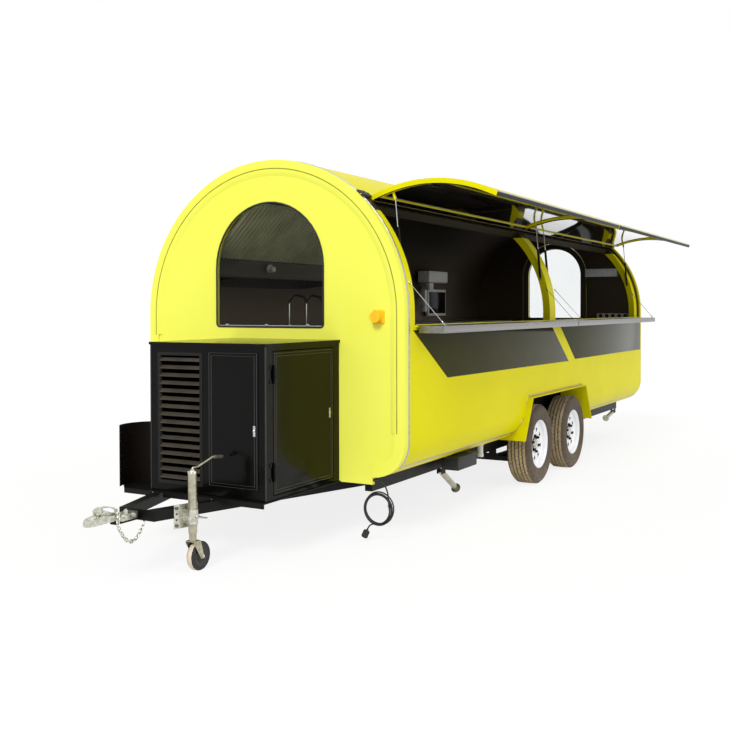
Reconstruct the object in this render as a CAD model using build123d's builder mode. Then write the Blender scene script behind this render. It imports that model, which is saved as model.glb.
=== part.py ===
"""Food trailer with an arched body, two serving hatches, fold-up shelves and a front housing.

Origin at the centre of the coupling's ball socket, +X forward, +Y left (the serving side), +Z up.
Heights are written above the ground, and places along the body as distances from the front wall.
"""
from build123d import *
from math import atan2, cos, degrees, hypot, radians, sin, sqrt, tan
import os

os.makedirs("parts", exist_ok=True)

# Stance
ball_height = 350
drawbar_reach = 1550

# Body shell
body_length = 5850
body_width = 2000
body_height = 2400
body_clearance = 403
corner_radius = 220
wall = 30
end_wall = 40
rim_width = 75
rim_relief = 10
sill_height = 1335
skirt_drop = 47
skirt_half_width = 770

# Front window and rear door
window_half_width = 419
window_sill = 1320
window_top = 2126
glass = 6
glass_clearance = 0.3
door_half_width = 380
door_top = 2190
door_gap = 5
door_window_half_width = 315
door_window_sill = 1320
door_window_top = 2130

# Serving openings, hatches and posts
hinge_angle = 47.7
hinge_bead = 5
hinge_clearance = 0.4
hinge_shell = 4
hinge_rise = 3
post_depth = 60
post_clearance = 10
front_post = 160
front_post_cover = 135
middle_post_start = 2800
middle_post = 150
rear_post = 150
hatch_gap = 14
hatch_end_gap = 10
hatch_sill_gap = 10
hatch_recess = 10
hatch_frame = 45
hatch_closing_angle = 66.7

# Gas struts that hold the hatches
strut_seat_radius = 930
strut_low_angle = 18.2
strut_high_angle = 38.7
strut_inset = 40
strut_barrel = 10
strut_bore = 7
strut_rod = 4
strut_eye = 8
strut_barrel_length = 255
strut_rod_length = 215
strut_pin = 3
strut_bracket = 4

# Fold-up shelves
shelf_top = sill_height - 2
shelf_depth = 190
shelf_fold = 46
shelf_sheet = 3
shelf_front_start = 150
shelf_front_end = 2865
shelf_rear_start = 2879
shelf_rear_end = 5690
shelf_bead = 4
stay_wire = 2

# Wheels and running gear
tyre_radius = 325
tyre_width = 195
tyre_outer_face = 1015
rim_radius = 197
bead_radius = 186
axle_mean = 2885
axle_spacing = 900
spindle_radius = 18
running_clearance = 0.3
hub_radius = 55
hub_length = 75
axle_beam = 50
axle_beam_height = 190
spring_leaf = 10
spring_leaves = 3
spring_span = 660
spring_eye_height = 262
wheel_windows = 8

# Wheel boxes
box_bottom_front = 1970
box_bottom_rear = 3770
box_top_front = 2155
box_top_rear = 3585
box_top = 730
box_sheet = 5
box_inner_face = 780
fender_reach = 45

# Frame
rail_width = 50
rail_outer = 740
rail_height = 100
rail_front = 60
rail_rear = 5790
drawbar_height = 58
drawbar_width = 60
drawbar_slope = 0.3134
nose_reach = 1220
nose_half_width = 126
cross_width = 40
cross_places = (1150, 1650, 2250, 2885, 3520, 4200, 4950, 5700)

# Coupling
socket_radius = 25.4
coupling_wall = 4
coupling_half_width = 32
coupling_length = 290
coupling_tip = 60
nose_tube = 44
nose_tube_length = 190
lever_length = 110

# Safety chain
chain_wire = 3
chain_inner = 22
chain_half_width = 11
chain_sag = 88
chain_span = 190
chain_side = 46
chain_clearance = 1

# Jockey wheel
jockey_reach = 1045
jockey_side = 232
jockey_tube = 24
jockey_wall = 3
jockey_tube_bottom = 215
jockey_tube_top = 555
jockey_leg_clearance = 0.5
jockey_leg_bottom = 172
jockey_leg_top = 480
jockey_wheel_radius = 80
jockey_wheel_width = 44
jockey_trail = 48
jockey_cheek = 4
jockey_cheek_gap = 5
jockey_axle = 6
clamp_height = 130
clamp_bottom = 240
clamp_plate = 6
clamp_length = 150
crank_radius = 6

# Steady legs, one row each: name, distance behind the front wall, side, way it points, angle at rest
steady_length = 300
steady_bar = 30
steady_foot = 35
steady_pin = 6
steady_height = 268
steady_ear = 5
steadies = (
    ("steady_front_left", 1130, 1, -1, 32),
    ("steady_front_right", 1130, -1, -1, 32),
    ("steady_rear_left", 5745, 1, 1, 9),
    ("steady_rear_right", 5745, -1, 1, 9),
)

# Front housing on the drawbar
platform_reach = 820
platform_left = 545
platform_right = 580
platform_sheet = 6
platform_lip = 24
housing_reach = 782
housing_left = 534
housing_right = 298
housing_top = 1243
housing_wall = 15
housing_lid = 8
louvre_left = 90
louvre_right = 242
louvre_bottom = 410
louvre_top = 1184
louvre_slats = 16
slat_sheet = 2.5
slat_depth = 30
slat_tilt = 38
service_left = 486
service_right = 132
service_bottom = 417
service_top = 1197
side_door_front = 706
side_door_rear = 64
side_door_bottom = 390
side_door_top = 1197
guard_radius = 200
guard_centre_reach = 700
guard_centre_side = 360
guard_sheet = 4
guard_height = 373

# Hinges with a loose middle knuckle
knuckle_radius = 8
knuckle_pin = 4
knuckle_bore = 4.3
knuckle_middle = 60
knuckle_end = 22
knuckle_space = 0.4
knuckle_plate = 3
knuckle_leaf = 36

# Inside
counter_height = sill_height - 35
counter_slab = 30
counter_depth = 550
counter_panel = 18
counter_front_gap = 60
counter_rear_gap = 300
hood_front = 380
hood_length = 1500
hood_sheet = 6
tap_radius = 9

# Power inlet, lamps and lead
inlet_side = 817
inlet_height = 1386
inlet_size = 84
inlet_depth = 38
lamp_side = 800
lamp_height = 700
lamp_width = 150
lamp_tall = 90
lamp_depth = 26
strip_lamp_centre = 565
strip_lamp_width = 370
strip_lamp_height = body_height - 560
strip_lamp_tall = 90
lead_radius = 4.5
lead_x_inset = 26
coil_radius = 92
coil_section = 14
coil_side = 800
coil_height = 205
plug_radius = 21
plug_length = 52

# Derived datums
ground = -ball_height
front_x = -drawbar_reach
half_width = body_width / 2
arch_z = ground + body_height - half_width
under_z = ground + body_clearance
rib_radius = half_width - wall - post_clearance
rail_top = under_z
rail_bottom = rail_top - rail_height
drawbar_bottom = ground + body_clearance - skirt_drop - drawbar_height
drawbar_top = drawbar_bottom + drawbar_height


def level(height):
    """Height above the ground as a coordinate."""
    return ground + height


def behind(distance):
    """Place along the body, measured back from the front wall's face."""
    return front_x - distance


def ahead(distance):
    """Place on the drawbar, measured forward from the front wall's face."""
    return front_x + distance


def arch_point(radius, angle):
    """Point of the arch's section, angle measured up from the serving side."""
    return (radius * cos(radians(angle)), arch_z + radius * sin(radians(angle)))


def body_outline(inset):
    """Outline of the body's section, drawn inside the wall's face by an inset."""
    side = half_width - inset
    corner = corner_radius - inset
    corner_side = half_width - corner_radius
    corner_z = under_z + corner_radius
    with BuildSketch() as outline:
        with BuildLine():
            CenterArc((0, arch_z), side, 0, 180)
            Line((-side, arch_z), (-side, corner_z))
            CenterArc((-corner_side, corner_z), corner, 180, 90)
            Line((-corner_side, corner_z - corner), (corner_side, corner_z - corner))
            CenterArc((corner_side, corner_z), corner, 270, 90)
            Line((side, corner_z), (side, arch_z))
        make_face()
    return outline.sketch


def arch_band(inner, outer, start, end):
    """Band of the arch between two radii and two angles."""
    with BuildSketch() as outline:
        with BuildLine():
            high = CenterArc((0, arch_z), outer, start, end - start)
            low = CenterArc((0, arch_z), inner, start, end - start)
            Line(high @ 0, low @ 0)
            Line(high @ 1, low @ 1)
        make_face()
    return outline.sketch


def post_band(inner, outer, bottom, end):
    """Band that rises straight from a level and then follows the arch."""
    with BuildSketch() as outline:
        with BuildLine():
            foot = min(bottom, arch_z - 1)
            high = CenterArc((0, arch_z), outer, 0, end)
            low = CenterArc((0, arch_z), inner, 0, end)
            Line(high @ 1, low @ 1)
            Polyline(high @ 0, (outer, foot), (inner, foot), low @ 0)
        make_face()
        with Locations((0, bottom)):
            Rectangle(
                4 * half_width,
                4 * half_width,
                align=(Align.CENTER, Align.MAX),
                mode=Mode.SUBTRACT,
            )
    return outline.sketch


def side_band(top):
    """Section of a side panel, from its top edge round the rolled lower corner."""
    corner_side = half_width - corner_radius
    corner_z = under_z + corner_radius
    with BuildSketch() as outline:
        with BuildLine():
            outer = CenterArc((corner_side, corner_z), corner_radius, 270, 90)
            inner = CenterArc((corner_side, corner_z), corner_radius - wall, 270, 90)
            Polyline(outer @ 1, (half_width, top), (half_width - wall, top), inner @ 1)
            Line(outer @ 0, inner @ 0)
        make_face()
    return outline.sketch


def arched_opening(half, sill, top):
    """Opening with a flat sill, straight sides and a round head."""
    spring = top - half
    with BuildSketch() as outline:
        with BuildLine():
            CenterArc((0, spring), half, 0, 180)
            Polyline((-half, spring), (-half, sill), (half, sill), (half, spring))
        make_face()
    return outline.sketch


def wheel_box_outline(inset):
    """Trapezoid of the wheel box's section, open side down."""
    slope = (box_bottom_rear - box_top_rear) / (level(box_top) - under_z)
    shift = inset * sqrt(1 + slope * slope)
    drop = shift - inset * slope
    with BuildSketch() as outline:
        with BuildLine():
            Polyline(
                (behind(box_bottom_front + shift), under_z - (inset and 1)),
                (behind(box_top_front + drop), level(box_top) - inset),
                (behind(box_top_rear - drop), level(box_top) - inset),
                (behind(box_bottom_rear - shift), under_z - (inset and 1)),
                close=True,
            )
        make_face()
    return outline.sketch


def bead_socket(centre, bead, first, last):
    """Round socket of a continuous hinge, open between two angles, closed on the rest."""
    inner = bead + hinge_clearance
    outer = inner + hinge_shell
    with BuildSketch() as outline:
        with BuildLine():
            high = CenterArc(centre, outer, last, 360 - (last - first))
            low = CenterArc(centre, inner, last, 360 - (last - first))
            Line(high @ 0, low @ 0)
            Line(high @ 1, low @ 1)
        make_face()
    return outline.sketch


def write(piece, name):
    """Label a finished piece and write it."""
    piece.part.label = name
    export_step(piece.part, f"parts/{name}.step")


# Front wall: panel with a raised rim, an arched window and a short skirt
with BuildPart() as front_wall:
    with BuildSketch(Plane.YZ.offset(front_x - end_wall)):
        add(body_outline(0))
    extrude(amount=end_wall)
    with BuildSketch(Plane.YZ.offset(front_x - rim_relief)):
        add(body_outline(rim_width))
        with Locations((0, under_z)):
            Rectangle(2 * skirt_half_width, 2 * rim_width, align=(Align.CENTER, Align.MIN))
    extrude(amount=rim_relief, mode=Mode.SUBTRACT)
    skirt_centre = (front_x - (end_wall + rim_relief) / 2, 0, under_z)
    with Locations(skirt_centre):
        Box(
            end_wall - rim_relief,
            2 * skirt_half_width,
            skirt_drop,
            align=(Align.CENTER, Align.CENTER, Align.MAX),
        )
    with BuildSketch(Plane.YZ.offset(front_x - end_wall)):
        add(arched_opening(window_half_width, level(window_sill), level(window_top)))
    extrude(amount=end_wall, mode=Mode.SUBTRACT)
write(front_wall, "front_wall")

with BuildPart() as front_window:
    with BuildSketch(Plane.YZ.offset(front_x - (end_wall + rim_relief) / 2 - glass / 2)):
        add(arched_opening(
            window_half_width - glass_clearance,
            level(window_sill) + glass_clearance,
            level(window_top) - glass_clearance,
        ))
    extrude(amount=glass)
write(front_window, "front_window")

# Rear wall with the doorway
rear_x = front_x - body_length
door_sill = under_z + wall
rear_panel_x = rear_x + rim_relief
door_axis_x = rear_panel_x - knuckle_radius
door_axis_y = door_half_width + door_gap / 2
door_hinge_levels = (level(620), level(1180), level(1740))


def fixed_knuckles(x, y, levels, turn):
    """Two end knuckles, their pin and their leaves on the standing side of each hinge."""
    half = knuckle_middle / 2 + knuckle_space
    for z in levels:
        base = Plane((x, y, z), x_dir=(cos(radians(turn)), sin(radians(turn)), 0), z_dir=(0, 0, 1))
        with Locations(base.location):
            Cylinder(knuckle_pin, 2 * (half + knuckle_end))
            with Locations((0, 0, half + knuckle_end / 2), (0, 0, -half - knuckle_end / 2)):
                Cylinder(knuckle_radius, knuckle_end)
                with Locations((-knuckle_radius, 0, 0)):
                    Box(
                        knuckle_plate,
                        knuckle_leaf,
                        knuckle_end,
                        align=(Align.MIN, Align.MAX, Align.CENTER),
                    )


def loose_knuckle(x, y, levels, turn):
    """Middle knuckle with its bore and its leaf on the swinging side of each hinge."""
    for z in levels:
        base = Plane((x, y, z), x_dir=(cos(radians(turn)), sin(radians(turn)), 0), z_dir=(0, 0, 1))
        with Locations(base.location):
            Cylinder(knuckle_radius, knuckle_middle)
            with Locations((-knuckle_radius, 0, 0)):
                Box(
                    knuckle_plate,
                    knuckle_leaf,
                    knuckle_middle,
                    align=(Align.MIN, Align.MIN, Align.CENTER),
                )
            Cylinder(knuckle_bore, knuckle_middle + 1, mode=Mode.SUBTRACT)


with BuildPart() as rear_wall:
    with BuildSketch(Plane.YZ.offset(rear_x)):
        add(body_outline(0))
    extrude(amount=end_wall)
    with BuildSketch(Plane.YZ.offset(rear_x)):
        add(body_outline(rim_width))
        with Locations((0, under_z)):
            Rectangle(2 * skirt_half_width, 2 * rim_width, align=(Align.CENTER, Align.MIN))
    extrude(amount=rim_relief, mode=Mode.SUBTRACT)
    with BuildSketch(Plane.YZ.offset(rear_x)):
        add(arched_opening(door_half_width + door_gap, door_sill, level(door_top) + door_gap))
    extrude(amount=end_wall, mode=Mode.SUBTRACT)
    fixed_knuckles(door_axis_x, door_axis_y, door_hinge_levels, 180)
write(rear_wall, "rear_wall")

with BuildPart() as door:
    with BuildSketch(Plane.YZ.offset(rear_panel_x)):
        add(arched_opening(door_half_width, door_sill + door_gap, level(door_top)))
    extrude(amount=end_wall - rim_relief)
    with BuildSketch(Plane.YZ.offset(rear_panel_x)):
        add(arched_opening(door_window_half_width, level(door_window_sill), level(door_window_top)))
    extrude(amount=end_wall - rim_relief, mode=Mode.SUBTRACT)
    loose_knuckle(door_axis_x, door_axis_y, door_hinge_levels, 180)
write(door, "door")

with BuildPart() as door_window:
    with BuildSketch(Plane.YZ.offset(rear_panel_x + (end_wall - rim_relief - glass) / 2)):
        add(arched_opening(
            door_window_half_width - glass_clearance,
            level(door_window_sill) + glass_clearance,
            level(door_window_top) - glass_clearance,
        ))
    extrude(amount=glass)
write(door_window, "door_window")

# Floor, side panels and roof between the end walls
shell_front = behind(end_wall)
shell_rear = rear_x + end_wall
shell_length = shell_front - shell_rear

with BuildPart() as floor:
    with Locations(((shell_front + shell_rear) / 2, 0, under_z)):
        Box(
            shell_length,
            2 * (half_width - corner_radius),
            wall,
            align=(Align.CENTER, Align.CENTER, Align.MIN),
        )
write(floor, "floor")

shelf_axis_y = half_width + 2 + shelf_bead + hinge_clearance + hinge_shell
shelf_axis_z = level(shelf_top) - shelf_sheet / 2
shelf_socket_outer = shelf_bead + hinge_clearance + hinge_shell

with BuildPart() as left_side:
    with BuildSketch(Plane.YZ.offset(shell_rear)):
        add(side_band(level(sill_height)))
    extrude(amount=shell_length)
    with BuildSketch(Plane.XZ.offset(-box_inner_face)):
        add(wheel_box_outline(0))
    extrude(amount=-half_width, mode=Mode.SUBTRACT)
    for start, end in ((shelf_front_start, shelf_front_end), (shelf_rear_start, shelf_rear_end)):
        with BuildSketch(Plane.YZ.offset(behind(end))):
            add(bead_socket((shelf_axis_y, shelf_axis_z), shelf_bead, -25, 115))
            with Locations((half_width, shelf_axis_z)):
                Rectangle(
                    2 + hinge_shell / 2,
                    1.4 * shelf_socket_outer,
                    align=(Align.MIN, Align.CENTER),
                )
        extrude(amount=end - start)
write(left_side, "left_side")

with BuildPart() as right_side:
    with BuildSketch(Plane.YZ.offset(shell_rear)):
        add(side_band(arch_z))
    extrude(amount=shell_length)
    with BuildSketch(Plane.XZ.offset(-box_inner_face)):
        add(wheel_box_outline(0))
    extrude(amount=-half_width, mode=Mode.SUBTRACT)
with BuildPart() as right_side_turned:
    add(right_side.part.mirror(Plane.XZ))
write(right_side_turned, "right_side")

hinge_y, hinge_z = arch_point(half_width + hinge_rise, hinge_angle)
hinge_outer = hinge_bead + hinge_clearance + hinge_shell
roof_edge_angle = hinge_angle + degrees((hinge_outer - hinge_shell / 2) / half_width)

with BuildPart() as roof:
    with BuildSketch(Plane.YZ.offset(shell_rear)):
        add(arch_band(half_width - wall, half_width, roof_edge_angle, 180))
        closed_direction = hinge_angle - 90
        add(bead_socket(
            (hinge_y, hinge_z),
            hinge_bead,
            closed_direction - 46,
            closed_direction + hatch_closing_angle + 28,
        ))
    extrude(amount=shell_length)
write(roof, "roof")

# Gas struts' geometry, from the seats on the posts and on the closed hatch
low_y, low_z = arch_point(strut_seat_radius, strut_low_angle)
closed_y, closed_z = arch_point(strut_seat_radius, strut_high_angle)
turn = radians(hatch_closing_angle)
span_y, span_z = closed_y - hinge_y, closed_z - hinge_z
open_y = hinge_y + span_y * cos(turn) - span_z * sin(turn)
open_z = hinge_z + span_y * sin(turn) + span_z * cos(turn)
strut_length = hypot(open_y - low_y, open_z - low_z)
strut_direction = ((open_y - low_y) / strut_length, (open_z - low_z) / strut_length)
strut_stroke = strut_length - hypot(closed_y - low_y, closed_z - low_z)
strut_swing = degrees(atan2(closed_z - low_z, closed_y - low_y) - atan2(open_z - low_z, open_y - low_y))
rear_post_face = body_length - rear_post
middle_post_end = middle_post_start + middle_post
strut_places = (
    (
        "hatch_front",
        (front_post + strut_inset / 2, front_post),
        (middle_post_start - strut_inset / 2, middle_post_start),
    ),
    (
        "hatch_rear",
        (middle_post_end + strut_inset / 2, middle_post_end),
        (rear_post_face - strut_inset / 2, rear_post_face),
    ),
)
print("strut stroke", round(strut_stroke, 2), "swing", round(strut_swing, 3))
print("strut foot", round(low_y, 2), round(low_z, 2), "eye", round(open_y, 2), round(open_z, 2))
print("strut direction", strut_direction, "hinge", round(hinge_y, 2), round(hinge_z, 2))

# Posts of the serving side and the beam under the hatch hinge
with BuildPart() as body_posts:
    beam_start = hinge_angle - 1.5
    with BuildSketch(Plane.YZ.offset(shell_rear)):
        add(arch_band(rib_radius - post_depth, rib_radius, beam_start, beam_start + 5))
    extrude(amount=shell_length)
    posts = (
        (end_wall, front_post),
        (middle_post_start, middle_post_start + middle_post),
        (body_length - rear_post, body_length - end_wall),
    )
    for start, end in posts:
        with BuildSketch(Plane.YZ.offset(behind(end))):
            add(post_band(rib_radius - post_depth, rib_radius, level(counter_height), beam_start))
        extrude(amount=end - start)
    for places in strut_places:
        for place, post_face in places[1:]:
            stud_length = abs(place - post_face) + strut_eye
            stud_start = min(behind(post_face), behind(post_face) + (stud_length if place < post_face else -stud_length))
            with BuildSketch(Plane.YZ.offset(stud_start)):
                with Locations((low_y, low_z)):
                    Circle(strut_pin)
            extrude(amount=stud_length)
    with BuildSketch(Plane.YZ.offset(behind(front_post_cover))):
        add(post_band(rib_radius, half_width, level(sill_height), hinge_angle - 0.7))
    extrude(amount=front_post_cover - end_wall)
write(body_posts, "body_posts")

# Hatches: curved panels hinged at the roof's edge, stored open
hatches = (
    ("hatch_front", front_post_cover + hatch_end_gap, middle_post_start + middle_post / 2 - hatch_gap / 2),
    ("hatch_rear", middle_post_start + middle_post / 2 + hatch_gap / 2, body_length - end_wall - hatch_end_gap),
)
hatch_axis = Axis((0, hinge_y, hinge_z), (1, 0, 0))
hatch_top_angle = hinge_angle - degrees((hinge_outer + 2) / half_width)
hatch_bottom = level(sill_height) + hatch_sill_gap
neck = 3
for name, start, end in hatches:
    length = end - start
    with BuildPart() as hatch:
        with BuildSketch(Plane.YZ.offset(behind(end))):
            add(post_band(half_width - wall, half_width, hatch_bottom, hatch_top_angle))
            with Locations((hinge_y, hinge_z)):
                Circle(hinge_bead)
            reach = hinge_outer + 12
            drop = hinge_rise - 1
            with Locations(Location((hinge_y, hinge_z, 0), (0, 0, hinge_angle - 90))):
                with Locations((0, -drop)):
                    Rectangle(reach, neck, align=(Align.MIN, Align.CENTER))
        extrude(amount=length)
        with BuildSketch(Plane.YZ.offset(behind(end - hatch_frame))):
            add(arch_band(
                half_width - wall - 1,
                half_width - wall + hatch_recess,
                degrees(hatch_frame / half_width) / 2,
                hatch_top_angle - degrees(hatch_frame / half_width),
            ))
        extrude(amount=length - 2 * hatch_frame, mode=Mode.SUBTRACT)
        for place, post_face in dict((row[0], row[1:]) for row in strut_places)[name]:
            away = -1 if place < post_face else 1
            bracket_x = behind(place) + away * (strut_rod + glass_clearance)
            bracket_reach = half_width - wall + hatch_recess + 4 - strut_seat_radius + strut_eye
            with Locations(
                Location((bracket_x, closed_y, closed_z), (strut_high_angle - 90, 0, 0))
            ):
                with Locations((0, 0, -strut_eye)):
                    Box(
                        strut_bracket,
                        2 * strut_eye,
                        bracket_reach,
                        align=(Align.MAX if away < 0 else Align.MIN, Align.CENTER, Align.MIN),
                    )
    with BuildPart() as hatch_open:
        add(hatch.part.rotate(hatch_axis, hatch_closing_angle))
    write(hatch_open, name)

# Gas struts: each turns on a stud of its post and holds the hatch by its eye
for name, first, last in strut_places:
    places = (first[0], last[0])
    with BuildPart() as barrels:
        for place in places:
            base = Plane(
                (behind(place), low_y, low_z),
                x_dir=(1, 0, 0),
                z_dir=(0, strut_direction[0], strut_direction[1]),
            )
            with BuildSketch(base.offset(strut_eye + 4)):
                Circle(strut_barrel)
            extrude(amount=strut_barrel_length - strut_eye - 4)
            with BuildSketch(base.offset(-strut_eye)):
                Rectangle(strut_pin * 2, strut_eye * 2)
            extrude(amount=strut_eye + 6 + strut_eye)
            with BuildSketch(base.offset(strut_eye + 14)):
                Circle(strut_bore)
            extrude(amount=strut_barrel_length, mode=Mode.SUBTRACT)
            with Locations(Location((behind(place), low_y, low_z), (0, 90, 0))):
                Cylinder(strut_pin + running_clearance, 4 * strut_eye, mode=Mode.SUBTRACT)
    write(barrels, name + "_barrels")
    with BuildPart() as rods:
        for place in places:
            base = Plane(
                (behind(place), low_y, low_z),
                x_dir=(1, 0, 0),
                z_dir=(0, strut_direction[0], strut_direction[1]),
            )
            with BuildSketch(base.offset(strut_length - strut_rod_length)):
                Circle(strut_rod)
            extrude(amount=strut_rod_length - strut_eye / 2)
            with BuildSketch(base.offset(strut_length - strut_rod_length)):
                Circle(strut_bore - hinge_clearance)
            extrude(amount=strut_eye)
            with BuildSketch(base.offset(strut_length - strut_eye)):
                Rectangle(strut_pin * 2, strut_eye * 2)
            extrude(amount=2 * strut_eye)
            with Locations(Location((behind(place), open_y, open_z), (0, 90, 0))):
                Cylinder(strut_pin + running_clearance, 4 * strut_eye, mode=Mode.SUBTRACT)
    write(rods, name + "_rods")

# Shelves that fold up against the hatches, with their bead in the sill's socket
shelf_outer = half_width + shelf_depth
shelves = (
    ("shelf_front", shelf_front_start, shelf_front_end),
    ("shelf_rear", shelf_rear_start, shelf_rear_end),
)
for name, start, end in shelves:
    length = end - start
    top = level(shelf_top)
    inner = shelf_axis_y + shelf_socket_outer + 2
    with BuildPart() as shelf:
        with Locations(((behind(start) + behind(end)) / 2, inner, top)):
            Box(
                length,
                shelf_outer - inner,
                shelf_fold,
                align=(Align.CENTER, Align.MIN, Align.MAX),
            )
        under = shelf.faces().sort_by(Axis.Z)[0]
        offset(amount=-shelf_sheet, openings=[under])
        with BuildSketch(Plane.YZ.offset(behind(end))):
            with Locations((shelf_axis_y, shelf_axis_z)):
                Circle(shelf_bead)
            with Locations((shelf_axis_y, top - shelf_sheet / 2)):
                Rectangle(
                    inner - shelf_axis_y + shelf_sheet,
                    shelf_sheet,
                    align=(Align.MIN, Align.CENTER),
                )
        extrude(amount=length)
    write(shelf, name)

# Stay wires that hold the shelves level
shelf_edge_z = level(shelf_top) + stay_wire + glass_clearance
wire_high = level(1600)
wire_sets = (
    ("shelf_front_stays", ((90, half_width, 176), (2770, rib_radius, 2767))),
    ("shelf_rear_stays", ((2980, rib_radius, 2995), (5670, rib_radius, 5600))),
)
for name, wires in wire_sets:
    with BuildPart() as stays:
        for high_place, radius, low_place in wires:
            high_y = sqrt(radius**2 - (wire_high - arch_z) ** 2) + stay_wire + glass_clearance
            high = Vector(behind(high_place), high_y, wire_high)
            low = Vector(behind(low_place), shelf_outer - 3 * stay_wire, shelf_edge_z)
            with BuildSketch(Plane(high, z_dir=low - high)):
                Circle(stay_wire)
            extrude(amount=(low - high).length)
    write(stays, name)

# Wheel boxes, one each side
for side, name in ((1, "wheel_box_left"), (-1, "wheel_box_right")):
    with BuildPart() as wheel_box:
        with BuildSketch(Plane.XZ.offset(-box_inner_face)):
            add(wheel_box_outline(0))
        extrude(amount=-(half_width + fender_reach - box_inner_face))
        with BuildSketch(Plane.XZ.offset(-box_inner_face - box_sheet)):
            add(wheel_box_outline(box_sheet))
        extrude(amount=-half_width, mode=Mode.SUBTRACT)
    with BuildPart() as wheel_box_placed:
        add(wheel_box.part if side > 0 else wheel_box.part.mirror(Plane.XZ))
    write(wheel_box_placed, name)

# Chassis rails with the ears of the steady legs
rail_middle = rail_outer - rail_width / 2
pivot_z = level(steady_height)
ear_gap = steady_bar / 2 + 1
with BuildPart() as chassis_rails:
    for side in (1, -1):
        with Locations(((behind(rail_front) + behind(rail_rear)) / 2, side * rail_middle, rail_bottom)):
            Box(
                rail_rear - rail_front,
                rail_width,
                rail_height,
                align=(Align.CENTER, Align.CENTER, Align.MIN),
            )
    for name, place, side, pointing, rest_angle in steadies:
        for ear in (-1, 1):
            with Locations((behind(place), side * rail_middle + ear * (ear_gap + steady_ear / 2), rail_bottom)):
                Box(
                    2 * steady_bar,
                    steady_ear,
                    rail_bottom - pivot_z + 14,
                    align=(Align.CENTER, Align.CENTER, Align.MAX),
                )
        with Locations(Location((behind(place), side * rail_middle, pivot_z), (90, 0, 0))):
            Cylinder(steady_pin, 2 * (ear_gap + steady_ear))
write(chassis_rails, "chassis_rails")

with BuildPart() as cross_members:
    for place in cross_places:
        with Locations((behind(place), 0, rail_top)):
            Box(
                cross_width,
                2 * (rail_outer - rail_width),
                skirt_drop,
                align=(Align.CENTER, Align.CENTER, Align.MAX),
            )
write(cross_members, "cross_members")

# Drawbar: two rails that spread from the nose to the chassis rails
rail_inner = rail_outer - rail_width
slant = sqrt(1 + drawbar_slope**2)
inner_offset = drawbar_width * slant
nose_x = ahead(nose_reach)
with BuildPart() as drawbar:
    with BuildSketch(Plane.XY.offset(drawbar_bottom)):
        for side in (1, -1):
            with BuildLine():
                Polyline(
                    (nose_x, side * nose_half_width),
                    (nose_x - (rail_inner - nose_half_width) / drawbar_slope, side * rail_inner),
                    (
                        nose_x - (rail_inner - nose_half_width + inner_offset) / drawbar_slope,
                        side * rail_inner,
                    ),
                    (nose_x, side * (nose_half_width - inner_offset)),
                    close=True,
                )
            make_face()
        with Locations((nose_x, 0)):
            Rectangle(12, 2 * nose_half_width, align=(Align.MIN, Align.CENTER))
    extrude(amount=drawbar_height)
    with Locations((nose_x, 0, (drawbar_bottom + drawbar_top) / 2)):
        Box(nose_tube_length, nose_tube, nose_tube, align=(Align.MIN, Align.CENTER, Align.CENTER))
write(drawbar, "drawbar")

# Coupling: pressed channel with the ball's dome at the tip and a lever on top
tube_top = (drawbar_bottom + drawbar_top + nose_tube) / 2
channel_top = tube_top + coupling_wall + 0.3
with BuildPart() as coupling:
    with BuildSketch(Plane.XZ.offset(-coupling_half_width)):
        with BuildLine():
            Polyline(
                (-coupling_length, channel_top),
                (-coupling_length * 0.55, channel_top),
                (-socket_radius, socket_radius - 2),
                (socket_radius, socket_radius * 0.6),
                (coupling_tip, -8),
                (coupling_tip, -20),
                (-coupling_length * 0.45, -20),
                (-coupling_length * 0.6, -20 - coupling_wall * 3),
                (-coupling_length, -20 - coupling_wall * 3),
                close=True,
            )
        make_face()
    extrude(amount=2 * coupling_half_width)
    vertical = coupling.edges().filter_by(Axis.Z).group_by(Axis.X)[-1]
    fillet(vertical, coupling_half_width * 0.9)
    Sphere(socket_radius + coupling_wall)
    inside = 2 * (coupling_half_width - coupling_wall)
    with Locations((-coupling_length, 0, channel_top - coupling_wall)):
        Box(
            coupling_length - socket_radius - 3 * coupling_wall,
            inside,
            80,
            align=(Align.MIN, Align.CENTER, Align.MAX),
            mode=Mode.SUBTRACT,
        )
    Sphere(socket_radius, mode=Mode.SUBTRACT)
    Cylinder(
        socket_radius,
        60,
        align=(Align.CENTER, Align.CENTER, Align.MAX),
        mode=Mode.SUBTRACT,
    )
    with BuildSketch(Plane.XZ.offset(-coupling_wall * 2)):
        with BuildLine():
            Polyline(
                (-socket_radius - lever_length, channel_top - 1),
                (-socket_radius - lever_length, channel_top + 14),
                (-socket_radius, socket_radius + 38),
                (-socket_radius + 14, socket_radius + 34),
                (-socket_radius - 20, socket_radius - 4),
                close=True,
            )
        make_face()
    extrude(amount=4 * coupling_wall)
write(coupling, "coupling")

# Safety chain: oval links hung in a loop, each turned a quarter from the last
chain_rear = nose_x + 6
chain_front = chain_rear + chain_span


def chain_height(x):
    """Height of the hanging loop above its lowest point's level."""
    middle = (chain_front + chain_rear) / 2
    return -chain_sag * (1 - ((x - middle) / (chain_span / 2)) ** 2)


chain_pitch = chain_inner - 0.6
chain_points = [(chain_rear, chain_height(chain_rear))]
while chain_points[-1][0] < chain_front and len(chain_points) < 40:
    x, z = chain_points[-1]
    step = chain_pitch
    low, high = x, x + chain_pitch
    for _ in range(40):
        middle = (low + high) / 2
        if hypot(middle - x, chain_height(middle) - z) < step:
            low = middle
        else:
            high = middle
    chain_points.append((low, chain_height(low)))

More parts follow.
